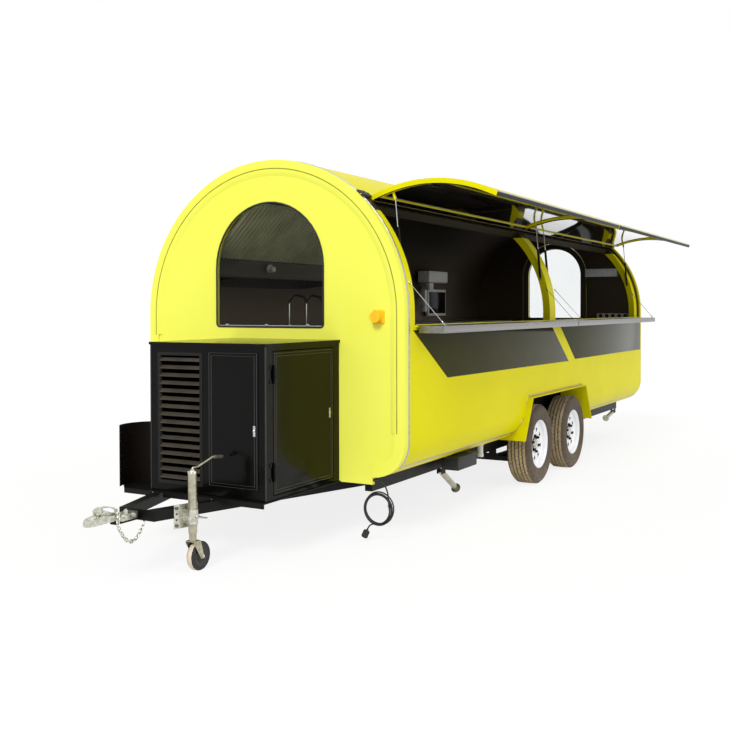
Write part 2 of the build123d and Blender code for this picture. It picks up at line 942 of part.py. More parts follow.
link_overhang = chain_inner / 2 + 2 * chain_wire - chain_pitch / 2
chain_start_z = drawbar_bottom - chain_clearance - link_overhang
with BuildPart() as safety_chain:
    for number in range(len(chain_points) - 1):
        (x0, z0), (x1, z1) = chain_points[number], chain_points[number + 1]
        centre = ((x0 + x1) / 2, chain_side, chain_start_z + (z0 + z1) / 2)
        along = Vector(x1 - x0, 0, z1 - z0).normalized()
        across = Vector(0, 1, 0) if number % 2 else along.cross(Vector(0, 1, 0))
        face_direction = along.cross(across)
        centre_plane = Plane(centre, x_dir=along, z_dir=face_direction)
        bend = chain_half_width - chain_wire
        straight = chain_inner / 2 + chain_wire - bend
        with BuildLine(centre_plane) as loop:
            top = Line((-straight, bend), (straight, bend))
            CenterArc((straight, 0), bend, 90, -180)
            Line((straight, -bend), (-straight, -bend))
            CenterArc((-straight, 0), bend, 270, -180)
        with BuildSketch(Plane(loop.line @ 0, z_dir=loop.line % 0)):
            Circle(chain_wire)
        sweep(path=loop.wires()[0])
write(safety_chain, "safety_chain")

# Jockey wheel: clamp on the drawbar, tube with its crank, leg, fork and wheel
jockey_x = ahead(jockey_reach)
rail_face_y = nose_half_width + (nose_x - jockey_x) * drawbar_slope
rail_angle = -degrees(atan2(drawbar_slope, 1))
plate_centre = (jockey_x, rail_face_y, level(clamp_bottom) + clamp_height / 2)
with BuildPart() as jockey_clamp:
    with Locations(Location(plate_centre, (0, 0, rail_angle))):
        Box(clamp_length, clamp_plate, clamp_height, align=(Align.CENTER, Align.MIN, Align.CENTER))
    reach = jockey_side - rail_face_y
    with Locations((jockey_x, jockey_side, level(clamp_bottom) + clamp_height / 2)):
        Cylinder(jockey_tube + clamp_plate, clamp_height * 0.6)
        Box(
            2 * jockey_tube,
            reach,
            clamp_height * 0.6,
            align=(Align.CENTER, Align.MAX, Align.CENTER),
        )
    with Locations((jockey_x, jockey_side, level(clamp_bottom) + clamp_height / 2)):
        Cylinder(jockey_tube + running_clearance, clamp_height, mode=Mode.SUBTRACT)
    with BuildSketch(Plane.XY.offset(level(clamp_bottom) - 1)):
        with BuildLine():
            back = rail_face_y - drawbar_width
            Polyline(
                (jockey_x - clamp_length, rail_face_y + clamp_length * drawbar_slope),
                (jockey_x + clamp_length, rail_face_y - clamp_length * drawbar_slope),
                (jockey_x + clamp_length, back - clamp_length),
                (jockey_x - clamp_length, back - clamp_length),
                close=True,
            )
        make_face()
    extrude(amount=clamp_height + 2, mode=Mode.SUBTRACT)
write(jockey_clamp, "jockey_clamp")

with BuildPart() as jockey_tube_part:
    with Locations((jockey_x, jockey_side, level(jockey_tube_bottom))):
        tube_length = jockey_tube_top - jockey_tube_bottom
        Cylinder(jockey_tube, tube_length, align=(Align.CENTER, Align.CENTER, Align.MIN))
        Cylinder(
            jockey_tube - jockey_wall,
            tube_length - jockey_wall,
            align=(Align.CENTER, Align.CENTER, Align.MIN),
            mode=Mode.SUBTRACT,
        )
    crank_path = (
        (jockey_x, jockey_side, level(jockey_tube_top) - 1),
        (jockey_x, jockey_side, level(jockey_tube_top) + 16),
        (jockey_x - 40, jockey_side + 6, level(jockey_tube_top) + 18),
        (jockey_x - 145, jockey_side + 24, level(jockey_tube_top) + 58),
        (jockey_x - 225, jockey_side + 36, level(jockey_tube_top) + 50),
    )
    with BuildLine() as crank_line:
        FilletPolyline(*crank_path, radius=7)
    with BuildSketch(Plane(crank_line.line @ 0, z_dir=crank_line.line % 0)):
        Circle(crank_radius)
    sweep(path=crank_line.wires()[0])
write(jockey_tube_part, "jockey_tube")

leg_radius = jockey_tube - jockey_wall - jockey_leg_clearance
with BuildPart() as jockey_leg:
    with Locations((jockey_x, jockey_side, level(jockey_leg_bottom))):
        Cylinder(
            leg_radius,
            jockey_leg_top - jockey_leg_bottom,
            align=(Align.CENTER, Align.CENTER, Align.MIN),
        )
write(jockey_leg, "jockey_leg")

axle_x = jockey_x - jockey_trail
cheek_y = jockey_wheel_width / 2 + jockey_cheek_gap
crown_top = level(jockey_leg_bottom) - glass_clearance
with BuildPart() as jockey_fork:
    with BuildSketch(Plane.XZ.offset(-jockey_side - cheek_y - jockey_cheek)):
        with BuildLine():
            Polyline(
                (jockey_x + jockey_tube, crown_top),
                (jockey_x + jockey_tube, crown_top - 12),
                (axle_x + 14, level(jockey_wheel_radius) - 12),
                (axle_x - 14, level(jockey_wheel_radius) - 12),
                (jockey_x - jockey_tube - 6, crown_top),
                close=True,
            )
        make_face()
    extrude(amount=2 * (cheek_y + jockey_cheek))
    with Locations((jockey_x, jockey_side, crown_top - jockey_cheek)):
        Box(
            240,
            2 * cheek_y,
            200,
            align=(Align.CENTER, Align.CENTER, Align.MAX),
            mode=Mode.SUBTRACT,
        )
    with Locations(Location((axle_x, jockey_side, level(jockey_wheel_radius)), (90, 0, 0))):
        Cylinder(jockey_axle, 2 * (cheek_y + jockey_cheek + 4))
write(jockey_fork, "jockey_fork")

with BuildPart() as jockey_wheel:
    with Locations(Location((axle_x, jockey_side, level(jockey_wheel_radius)), (90, 0, 0))):
        Cylinder(jockey_wheel_radius, jockey_wheel_width)
        Cylinder(jockey_wheel_radius * 0.42, 2 * (cheek_y - 0.5))
        Cylinder(jockey_axle + running_clearance, 4 * cheek_y, mode=Mode.SUBTRACT)
    rims = jockey_wheel.edges().filter_by(GeomType.CIRCLE)
    treads = rims.filter_by(lambda edge: abs(edge.radius - jockey_wheel_radius) < 0.1)
    fillet(treads, 10)
write(jockey_wheel, "jockey_wheel")

# Steady legs, stored folded up under the rails
for name, place, side, pointing, rest_angle in steadies:
    tilt = radians(rest_angle)
    leg_direction = (pointing * cos(tilt), 0, -sin(tilt))
    pivot = Vector(behind(place), side * rail_middle, pivot_z)
    leg_plane = Plane(pivot, x_dir=(0, 1, 0), z_dir=leg_direction)
    with BuildPart() as steady:
        with BuildSketch(leg_plane.offset(-steady_bar / 2)):
            Rectangle(steady_bar, steady_bar)
        extrude(amount=steady_length + steady_bar / 2)
        with BuildSketch(leg_plane.offset(steady_length)):
            Circle(steady_foot)
        extrude(amount=8)
        with Locations(Location(pivot, (90, 0, 0))):
            Cylinder(steady_pin + running_clearance, 2 * steady_bar, mode=Mode.SUBTRACT)
    write(steady, name)

# Running gear: dropped axles, their risers and spindles, leaf springs and hangers
axles = {
    "front": axle_mean - axle_spacing / 2,
    "rear": axle_mean + axle_spacing / 2,
}
wheel_z = level(tyre_radius)
tyre_inner_face = tyre_outer_face - tyre_width
riser_outer = tyre_inner_face - 20
riser_thick = 30
spring_top = level(spring_eye_height)
beam_z = level(axle_beam_height)
with BuildPart() as running_gear:
    for place in axles.values():
        x = behind(place)
        with Locations((x, 0, beam_z)):
            Box(axle_beam, 2 * riser_outer, axle_beam)
        for side in (1, -1):
            with Locations((x, side * (riser_outer - riser_thick / 2), beam_z - axle_beam / 2)):
                Box(
                    axle_beam,
                    riser_thick,
                    wheel_z + spindle_radius + 8 - beam_z + axle_beam / 2,
                    align=(Align.CENTER, Align.CENTER, Align.MIN),
                )
            spindle_end = tyre_outer_face - 60
            spindle_length = spindle_end - riser_outer
            with Locations(Location((x, side * (riser_outer + spindle_length / 2), wheel_z), (90, 0, 0))):
                Cylinder(spindle_radius, spindle_length)
            leaf_base = beam_z + axle_beam / 2
            for leaf in range(spring_leaves):
                half_span = spring_span / 2 * (1 - 0.28 * leaf)
                rise = (spring_top - leaf_base - spring_leaves * spring_leaf) * (1 - 0.28 * leaf) ** 2
                base = leaf_base + (spring_leaves - 1 - leaf) * spring_leaf
                with BuildSketch(Plane.XZ.offset(-side * rail_middle - rail_width / 2)):
                    with BuildLine():
                        low_arc = ThreePointArc(
                            (x - half_span, base + rise), (x, base), (x + half_span, base + rise)
                        )
                        high_arc = ThreePointArc(
                            (x - half_span, base + rise + spring_leaf),
                            (x, base + spring_leaf),
                            (x + half_span, base + rise + spring_leaf),
                        )
                        Line(low_arc @ 0, high_arc @ 0)
                        Line(low_arc @ 1, high_arc @ 1)
                    make_face()
                extrude(amount=rail_width)
            for end in (-1, 1):
                with Locations((x + end * (spring_span / 2 - 8), side * rail_middle, rail_bottom)):
                    Box(
                        36,
                        rail_width,
                        rail_bottom - spring_top + 6,
                        align=(Align.CENTER, Align.CENTER, Align.MAX),
                    )
write(running_gear, "running_gear")

# Tyres and steel wheels
tyre_half = tyre_width / 2
wheel_middle = tyre_outer_face - tyre_half
rim_half = tyre_half * 0.78
bead_gap = glass_clearance


def tyre_profile():
    """Section of the tyre with its tread shoulder, side wall and bead, drawn from its axis."""
    shoulder = tyre_radius - 14
    with BuildSketch() as outline:
        with BuildLine():
            Polyline(
                (rim_radius + bead_gap, -rim_half - 2),
                (rim_radius + bead_gap, -rim_half - 12),
            )
            ThreePointArc(
                (rim_radius + bead_gap, -rim_half - 12),
                ((rim_radius + shoulder) / 2, -tyre_half),
                (shoulder, -tyre_half + 14),
            )
            Polyline(
                (shoulder, -tyre_half + 14),
                (tyre_radius - 3, -tyre_half + 24),
                (tyre_radius, -tyre_half + 40),
                (tyre_radius, tyre_half - 40),
                (tyre_radius - 3, tyre_half - 24),
                (shoulder, tyre_half - 14),
            )
            ThreePointArc(
                (shoulder, tyre_half - 14),
                ((rim_radius + shoulder) / 2, tyre_half),
                (rim_radius + bead_gap, rim_half + 12),
            )
            Polyline(
                (rim_radius + bead_gap, rim_half + 12),
                (rim_radius + bead_gap, rim_half + 2),
                (bead_radius + bead_gap, rim_half - 8),
                (bead_radius + bead_gap, -rim_half + 8),
                (rim_radius + bead_gap, -rim_half - 2),
            )
        make_face()
    return outline.sketch


def rim_profile():
    """Section of the steel rim: flanges, well and a dished disc near the outer face."""
    sheet = 4
    well = bead_radius - 26
    with BuildSketch() as outline:
        with BuildLine():
            Polyline(
                (rim_radius, -rim_half - 2),
                (bead_radius, -rim_half + 8),
                (bead_radius, -rim_half + 30),
                (well, -rim_half + 44),
                (well, rim_half - 48),
                (bead_radius, rim_half - 34),
                (bead_radius, rim_half - 8),
                (rim_radius, rim_half + 2),
                (rim_radius, rim_half + 2 + sheet),
                (bead_radius - sheet, rim_half - 8 - sheet),
                (bead_radius - sheet, rim_half - 34 + sheet),
                (well - sheet, rim_half - 48 + sheet),
                (well - sheet, -rim_half + 44 - sheet),
                (bead_radius - sheet, -rim_half + 30 - sheet),
                (bead_radius - sheet, -rim_half + 8 + sheet),
                (rim_radius, -rim_half - 2 - sheet),
                close=True,
            )
        make_face()
        with BuildLine():
            Polyline(
                (well - sheet / 2, 14),
                (well - sheet / 2, 6),
                (hub_radius + 52, 22),
                (hub_radius + 22, 14),
                (hub_radius - 10, 14),
                (hub_radius - 10, 22),
                (hub_radius + 20, 22),
                (hub_radius + 54, 30),
                close=True,
            )
        make_face()
        with BuildLine():
            hub_inner = spindle_radius + running_clearance
            Polyline(
                (hub_inner, -hub_length),
                (hub_radius - 14, -hub_length),
                (hub_radius, 4),
                (hub_radius, 14),
                (hub_radius - 10, 22),
                (hub_radius - 14, 44),
                (hub_radius - 22, 52),
                (0, 52),
                (0, 46),
                (hub_inner, 46),
                close=True,
            )
        make_face()
    return outline.sketch


wheels = (
    ("front_left", "front", 1),
    ("front_right", "front", -1),
    ("rear_left", "rear", 1),
    ("rear_right", "rear", -1),
)
for name, axle, side in wheels:
    hub_plane = Plane(
        (behind(axles[axle]), side * wheel_middle, wheel_z), x_dir=(1, 0, 0), z_dir=(0, 0, side)
    )
    turning = Axis((behind(axles[axle]), side * wheel_middle, wheel_z), (0, 1, 0))
    with BuildPart() as tyre:
        with BuildSketch(hub_plane):
            add(tyre_profile())
        revolve(axis=turning)
    write(tyre, "tyre_" + name)
    with BuildPart() as wheel:
        with BuildSketch(hub_plane):
            add(rim_profile())
        revolve(axis=turning)
        face_plane = Plane(
            (behind(axles[axle]), side * wheel_middle, wheel_z), x_dir=(1, 0, 0), z_dir=(0, side, 0)
        )
        with BuildSketch(face_plane):
            with PolarLocations(hub_radius + 62, wheel_windows):
                Trapezoid(40, 26, 76, rotation=90)
        extrude(amount=40, mode=Mode.SUBTRACT)
    write(wheel, "wheel_" + name)

# Platform on the drawbar with the front housing and the bottle guard
platform_z = drawbar_top
platform_top = platform_z + platform_sheet
platform_back = front_x - rim_relief + glass_clearance
platform_front = ahead(platform_reach)
with BuildPart() as platform:
    with BuildSketch(Plane.XY.offset(platform_z)):
        with BuildLine():
            Polyline(
                (platform_back, platform_left),
                (platform_front, platform_left),
                (platform_front, -platform_right + guard_radius / 2),
                (platform_front - guard_radius / 2, -platform_right),
                (platform_back, -platform_right),
                close=True,
            )
        make_face()
    extrude(amount=platform_sheet)
    rail_at_edge = nose_half_width + (nose_x - platform_front) * drawbar_slope
    lips = (
        (platform_left, rail_at_edge + 12),
        (rail_at_edge - inner_offset - 12, -rail_at_edge + inner_offset + 12),
        (-rail_at_edge - 12, -platform_right + guard_radius / 2),
    )
    for left, right in lips:
        with Locations((platform_front, (left + right) / 2, platform_z)):
            Box(
                platform_sheet,
                left - right,
                platform_lip,
                align=(Align.MAX, Align.CENTER, Align.MAX),
            )
write(platform, "platform")

housing_back = platform_back
housing_front = ahead(housing_reach)
housing_middle = (housing_left - housing_right) / 2
side_axis_x = ahead(side_door_front) + door_gap / 2
side_axis_y = housing_left + knuckle_radius
side_levels = (level(520), level(1070))
with BuildPart() as generator_housing:
    with BuildSketch(Plane.XY.offset(platform_top)):
        with Locations(((housing_back + housing_front) / 2, housing_middle)):
            Rectangle(housing_front - housing_back, housing_left + housing_right)
    extrude(amount=level(housing_top) - platform_top)
    with BuildSketch(Plane.XY.offset(platform_top + housing_wall)):
        with Locations(((housing_back + housing_front) / 2, housing_middle)):
            Rectangle(
                housing_front - housing_back - 2 * housing_wall,
                housing_left + housing_right - 2 * housing_wall,
            )
    extrude(amount=level(housing_top) - platform_top - 2 * housing_wall, mode=Mode.SUBTRACT)
    with BuildSketch(Plane.YZ.offset(housing_front - housing_wall)):
        with Locations(((louvre_left - louvre_right) / 2, level((louvre_bottom + louvre_top) / 2))):
            Rectangle(louvre_left + louvre_right, louvre_top - louvre_bottom)
    extrude(amount=housing_wall, mode=Mode.SUBTRACT)
    with BuildSketch(Plane.XZ.offset(-housing_left + housing_wall)):
        door_middle = (ahead(side_door_front) + ahead(side_door_rear)) / 2
        with Locations((door_middle, level((side_door_bottom + side_door_top) / 2))):
            Rectangle(
                side_door_front - side_door_rear + 2 * door_gap,
                side_door_top - side_door_bottom + 2 * door_gap,
            )
    extrude(amount=-housing_wall, mode=Mode.SUBTRACT)
    with BuildSketch(Plane.XY.offset(level(housing_top))):
        with Locations(((housing_back + housing_front) / 2 + housing_lid / 2, housing_middle)):
            Rectangle(
                housing_front - housing_back + housing_lid,
                housing_left + housing_right + 2 * housing_lid,
            )
    extrude(amount=-2 * housing_lid)
    with BuildSketch(Plane.YZ.offset(housing_front)):
        with Locations(((service_left + service_right) / 2, level((service_bottom + service_top) / 2))):
            Rectangle(service_left - service_right, service_top - service_bottom)
    extrude(amount=3)
    fixed_knuckles(side_axis_x, side_axis_y, side_levels, 90)
write(generator_housing, "generator_housing")

with BuildPart() as generator_side_door:
    with BuildSketch(Plane.XZ.offset(-housing_left + housing_wall)):
        with Locations((door_middle, level((side_door_bottom + side_door_top) / 2))):
            Rectangle(side_door_front - side_door_rear, side_door_top - side_door_bottom)
    extrude(amount=-housing_wall)
    loose_knuckle(side_axis_x, side_axis_y, side_levels, 90)
write(generator_side_door, "generator_side_door")

louvre_frame = 18
slat_pitch = (louvre_top - louvre_bottom - 2 * louvre_frame) / louvre_slats
with BuildPart() as generator_louvre:
    with BuildSketch(Plane.YZ.offset(housing_front - housing_wall)):
        with Locations(((louvre_left - louvre_right) / 2, level((louvre_bottom + louvre_top) / 2))):
            Rectangle(louvre_left + louvre_right, louvre_top - louvre_bottom)
            Rectangle(
                louvre_left + louvre_right - 2 * louvre_frame,
                louvre_top - louvre_bottom - 2 * louvre_frame,
                mode=Mode.SUBTRACT,
            )
    extrude(amount=housing_wall + 3)
    for slat in range(louvre_slats):
        slat_z = level(louvre_bottom + louvre_frame) + (slat + 0.5) * slat_pitch
        slat_centre = (housing_front - housing_wall / 2 + 3, (louvre_left - louvre_right) / 2, slat_z)
        with Locations(Location(slat_centre, (0, slat_tilt, 0))):
            Box(slat_depth, louvre_left + louvre_right - 2 * louvre_frame + 2, slat_sheet)
write(generator_louvre, "generator_louvre")

with BuildPart() as bottle_guard:
    centre = (ahead(guard_centre_reach), -guard_centre_side)
    end_y = -housing_right - glass_clearance
    with BuildSketch(Plane.XY.offset(platform_top)):
        with BuildLine():
            outer_arc = CenterArc(centre, guard_radius, 180, 122)
            inner_arc = CenterArc(centre, guard_radius - guard_sheet, 180, 122)
            Line(outer_arc @ 1, inner_arc @ 1)
            Polyline(
                outer_arc @ 0,
                (centre[0] - guard_radius, end_y),
                (centre[0] - guard_radius + guard_sheet, end_y),
                inner_arc @ 0,
            )
        make_face()
    extrude(amount=guard_height)
write(bottle_guard, "bottle_guard")

# Power inlet on the front wall
with BuildPart() as power_inlet:
    inlet_plane = Plane(
        (front_x - rim_relief, inlet_side, level(inlet_height)), x_dir=(0, 1, 0), z_dir=(1, 0, 0)
    )
    with BuildSketch(inlet_plane):
        RectangleRounded(inlet_size, inlet_size, 8)
    with BuildSketch(inlet_plane.offset(inlet_depth * 0.35)):
        RectangleRounded(inlet_size * 0.9, inlet_size * 0.9, 8)
    loft()
    collar = inlet_plane.offset(inlet_depth * 0.3).rotated((-20, 0, 0))
    with BuildSketch(collar):
        Circle(inlet_size * 0.34)
    extrude(amount=inlet_depth)
    with BuildSketch(collar.offset(inlet_depth)):
        Circle(inlet_size * 0.4)
    extrude(amount=8)
    with BuildSketch(collar.offset(inlet_depth)):
        with Locations((0, inlet_size * 0.42)):
            Rectangle(inlet_size * 0.42, inlet_size * 0.16)
    extrude(amount=8)
write(power_inlet, "power_inlet")

# Tail lamps and the strip lamp inside the rear wall
with BuildPart() as lamps:
    for side in (1, -1):
        with BuildSketch(Plane.YZ.offset(rear_panel_x)):
            with Locations((side * lamp_side, level(lamp_height))):
                RectangleRounded(lamp_width, lamp_tall, 12)
        extrude(amount=-lamp_depth)
    with Locations((shell_rear, strip_lamp_centre, level(strip_lamp_height))):
        Box(40, strip_lamp_width, strip_lamp_tall, align=(Align.MIN, Align.CENTER, Align.CENTER))
write(lamps, "lamps")

# Counters along both sides
counter_top_z = level(counter_height)
counter_outer = half_width - wall
counter_inner = counter_outer - counter_depth
counter_front = behind(counter_front_gap)
counter_rear = rear_x + counter_rear_gap
counter_length = counter_front - counter_rear
counter_x = (counter_front + counter_rear) / 2
for side, name in ((1, "left_counter"), (-1, "right_counter")):
    with BuildPart() as counter:
        with Locations((counter_x, side * (counter_outer + counter_inner) / 2, counter_top_z)):
            Box(
                counter_length,
                counter_depth,
                counter_slab,
                align=(Align.CENTER, Align.CENTER, Align.MAX),
            )
        with Locations((counter_x, side * (counter_inner + 2 * counter_panel), door_sill)):
            Box(
                counter_length,
                counter_panel,
                counter_top_z - counter_slab - door_sill,
                align=(Align.CENTER, Align.CENTER, Align.MIN),
            )
    write(counter, name)

# Two taps on the far counter
with BuildPart() as taps:
    for place in (1500, 1760):
        base = Vector(behind(place), -counter_outer + 130, counter_top_z)
        with Locations(base):
            Cylinder(24, 8, align=(Align.CENTER, Align.CENTER, Align.MIN))
        with BuildLine() as spout:
            FilletPolyline(
                base,
                base + Vector(0, 0, 190),
                base + Vector(0, 60, 250),
                base + Vector(0, 150, 230),
                base + Vector(0, 175, 180),
                radius=24,
            )
        with BuildSketch(Plane(spout.line @ 0, z_dir=(0, 0, 1))):
            Circle(tap_radius)
        sweep(path=spout.wires()[0])
write(taps, "taps")

# Extractor hood over the far counter, open underneath
with BuildPart() as range_hood:
    hood_radius = half_width - wall - glass_clearance
    hood_low = arch_point(hood_radius, 180 - 12)
    hood_high = arch_point(hood_radius, 180 - 58)
    hood_start = behind(hood_front + hood_length)
    front_low = (hood_low[0] + 430, hood_low[1] + 60)
    with BuildSketch(Plane.YZ.offset(hood_start)):
        with BuildLine():
            back = CenterArc((0, arch_z), hood_radius, 122, 46)
            Polyline(back @ 1, front_low, back @ 0)
        make_face()
    extrude(amount=hood_length)
    under = range_hood.faces().sort_by(Axis.Z)[0]
    offset(amount=-hood_sheet, openings=[under])
write(range_hood, "range_hood")

# Lead: gland on the skirt, hanging cable, loose coil and round plug
lead_x = behind(lead_x_inset)
gland_y = skirt_half_width
gland_z = level(382)
gland_length = 14
with BuildPart() as lead_gland:
    with Locations(Location((lead_x, gland_y + gland_length / 2, gland_z), (90, 0, 0))):
        Cylinder(lead_radius * 2, gland_length)
write(lead_gland, "lead_gland")

coil_z = level(coil_height)


def coil_point(angle):
    """Point on the coil's middle circle, angle measured up from the serving side."""
    return (
        lead_x,
        coil_side + coil_radius * cos(radians(angle)),
        coil_z + coil_radius * sin(radians(angle)),
    )


with BuildPart() as lead_coil:
    with BuildSketch(Plane.XY.offset(coil_z)):
        with Locations((lead_x, coil_side + coil_radius)):
            Circle(coil_section)
    revolve(axis=Axis((lead_x, coil_side, coil_z), (1, 0, 0)))
write(lead_coil, "lead_coil")

hanging_route = [
    (lead_x, gland_y + gland_length, gland_z),
    (lead_x, gland_y + 46, gland_z),
    (lead_x, gland_y + 78, gland_z - 24),
    (lead_x, gland_y + 96, gland_z - 60),
    (lead_x, gland_y + 104, gland_z - 98),
    coil_point(22),
]
plug_route = [
    coil_point(-92),
    (lead_x, coil_side - 34, coil_z - coil_radius - 1),
    (lead_x, coil_side - 62, coil_z - coil_radius - 14),
    (lead_x, coil_side - 74, coil_z - coil_radius - 40),
]


def fillet_radii(points):
    """Radius of the arc at each corner of a route, as large as its two runs allow."""
    radii = []
    for before, corner, after in zip(points, points[1:], points[2:]):
        first = Vector(*corner) - Vector(*before)
        second = Vector(*after) - Vector(*corner)
        half_turn = radians(first.get_angle(second)) / 2
        radii.append(0.45 * min(first.length, second.length) / tan(half_turn))
    return radii


with BuildPart() as lead:
    for route in (hanging_route, plug_route):
        radii = fillet_radii(route)
        print("lead radii", [round(radius, 1) for radius in radii])
        with BuildLine() as path:
            FilletPolyline(*route, radius=radii)
        with BuildSketch(Plane(path.line @ 0, z_dir=path.line % 0)):
            Circle(lead_radius)
        sweep(path=path.wires()[0])
write(lead, "lead")

plug_top = Vector(*plug_route[-1])
plug_direction = (plug_top - Vector(*plug_route[-2])).normalized()
with BuildPart() as lead_plug:
    plug_plane = Plane(plug_top, x_dir=(1, 0, 0), z_dir=plug_direction)
    with BuildSketch(plug_plane):
        Circle(lead_radius * 2)
    with BuildSketch(plug_plane.offset(plug_length * 0.3)):
        Circle(plug_radius)
    loft()
    with BuildSketch(plug_plane.offset(plug_length * 0.3)):
        Circle(plug_radius)
    extrude(amount=plug_length * 0.7)
write(lead_plug, "lead_plug")
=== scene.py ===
import math

import bmesh
import bpy
from mathutils import Matrix, Vector


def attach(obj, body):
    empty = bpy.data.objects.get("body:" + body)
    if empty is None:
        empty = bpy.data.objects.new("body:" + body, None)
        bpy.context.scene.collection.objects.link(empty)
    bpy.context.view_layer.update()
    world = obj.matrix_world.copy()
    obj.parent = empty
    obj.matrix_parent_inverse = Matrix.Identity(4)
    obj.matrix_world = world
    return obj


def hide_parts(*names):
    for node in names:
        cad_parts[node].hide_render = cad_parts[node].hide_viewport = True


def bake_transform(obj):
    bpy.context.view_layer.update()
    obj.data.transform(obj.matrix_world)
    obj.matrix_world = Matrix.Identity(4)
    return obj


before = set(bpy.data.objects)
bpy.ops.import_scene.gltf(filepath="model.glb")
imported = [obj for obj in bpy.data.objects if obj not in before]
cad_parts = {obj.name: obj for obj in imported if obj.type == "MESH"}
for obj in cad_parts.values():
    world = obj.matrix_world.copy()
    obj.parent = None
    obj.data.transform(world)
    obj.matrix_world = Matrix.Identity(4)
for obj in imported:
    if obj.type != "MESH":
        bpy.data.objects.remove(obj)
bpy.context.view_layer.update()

# The object's main sizes, in metres, in the row frame
GROUND = -0.35
FRONT = -1.55
HALF = 1.0
ARCH_Z = 1.05
UNDER_Z = 0.053
CORNER = 0.22
PANEL_X = FRONT - 0.01
HINGE_Y = 0.67503
HINGE_Z = 1.79185
HATCH_TURN = math.radians(66.7)
WHEEL_X = (-3.985, -4.885)
WHEEL_Z = -0.025
WHEEL_Y = 0.9175
SIDES = ((1, "left"), (-1, "right"))

# Where looks change: the foot of the beam on the posts, the inner faces of the shell, a tyre's tread
BEAM_Z = 1.697
LINED_RADIUS = 0.985
LINED_X = (-7.362, -1.588)
LINED_Z = 0.28
TREAD_RADIUS = 0.3196

# Camera at the photograph's viewing angle
heading = math.radians(209.38)
pitch = math.radians(-1.152)
roll = -0.0016
view_line = Vector((
    math.cos(heading) * math.cos(pitch),
    math.sin(heading) * math.cos(pitch),
    math.sin(pitch),
))
camera_data = bpy.data.cameras.new("camera")
camera = bpy.data.objects.new("camera", camera_data)
bpy.context.scene.collection.objects.link(camera)
camera_data.sensor_width = 36
camera_data.lens = 47.72
camera_data.shift_y = -0.0511
camera_data.clip_end = 200
camera.rotation_mode = "QUATERNION"
camera.rotation_quaternion = view_line.to_track_quat(
    "-Z", "Y",
) @ Matrix.Rotation(roll, 3, "Z").to_quaternion()
camera.location = (3.6203, 3.6368, 1.0899)
bpy.context.scene.camera = camera


def srgb(red, green, blue):
    """Linear colour from 0-255 screen values."""
    values = []
    for part in (red, green, blue):
        part = part / 255
        values.append(part / 12.92 if part <= 0.04045 else ((part + 0.055) / 1.055) ** 2.4)
    return (*values, 1.0)


def node(tree, kind, inputs=None, **settings):
    """New shader node with its settings and the values of its inputs."""
    made = tree.nodes.new(kind)
    for key, value in settings.items():
        setattr(made, key, value)
    for key, value in (inputs or {}).items():
        made.inputs[key].default_value = value
    return made


def feed(tree, value, socket):
    """Sets an input to a value, or links another node's output to it."""
    if isinstance(value, (int, float, tuple)):
        socket.default_value = value
    else:
        tree.links.new(value, socket)


def maths(tree, operation, *terms):
    """Math node on sockets or numbers, returning its output."""
    made = node(tree, "ShaderNodeMath", operation=operation)
    for place, value in enumerate(terms):
        feed(tree, value, made.inputs[place])
    return made.outputs[0]


def noise(tree, scale, detail=4.0, stretch=(1, 1, 1)):
    """Noise on the object's own coordinates, returning its factor."""
    place = node(tree, "ShaderNodeTexCoord")
    mapping = node(tree, "ShaderNodeMapping", {"Scale": stretch})
    made = node(tree, "ShaderNodeTexNoise", {"Scale": scale, "Detail": detail, "Roughness": 0.55})
    tree.links.new(place.outputs["Object"], mapping.inputs["Vector"])
    tree.links.new(mapping.outputs["Vector"], made.inputs["Vector"])
    return made.outputs["Fac"]


def blend_colours(tree, factor, first, second):
    """Mix of two colours, each a colour or a socket, returning the colour."""
    made = node(tree, "ShaderNodeMix", data_type="RGBA")
    for place, value in ((0, factor), (6, first), (7, second)):
        feed(tree, value, made.inputs[place])
    return made.outputs[2]


def spread(tree, factor, low, high, start=0.3, end=0.7):
    """Factor mapped onto a range, returning its output."""
    limits = {"From Min": start, "From Max": end, "To Min": low, "To Max": high}
    made = node(tree, "ShaderNodeMapRange", limits)
    tree.links.new(factor, made.inputs["Value"])
    return made.outputs[0]


def show_mix(tree, output_kind, factor, first, second):
    """Two shaders mixed by a factor, as the tree's output."""
    mixed = node(tree, "ShaderNodeMixShader")
    for place, socket in enumerate((factor, first.outputs[0], second.outputs[0])):
        tree.links.new(socket, mixed.inputs[place])
    tree.links.new(mixed.outputs[0], node(tree, output_kind).inputs[0])


def coordinates(tree, kind="Object"):
    """The three parts of the object's own coordinates, or of its normals."""
    place = node(tree, "ShaderNodeTexCoord")
    parts = node(tree, "ShaderNodeSeparateXYZ")
    tree.links.new(place.outputs[kind], parts.inputs[0])
    return parts.outputs


def seen_directly(tree):
    """1 for rays from the camera, from gloss and through glass, 0 for those that light the object."""
    path = node(tree, "ShaderNodeLightPath")
    seen = maths(tree, "MAXIMUM", path.outputs["Is Camera Ray"], path.outputs["Is Glossy Ray"])
    return maths(tree, "MAXIMUM", seen, path.outputs["Is Transmission Ray"])


def beam_mask(tree):
    """1 on the beam that joins the posts under the roof's edge, 0 on the posts."""
    return maths(tree, "GREATER_THAN", coordinates(tree)[2], BEAM_Z)


def distance(tree, first, second):
    """Length of the vector that two sockets make."""
    squares = [maths(tree, "MULTIPLY", value, value) for value in (first, second)]
    return maths(tree, "SQRT", maths(tree, "ADD", *squares))


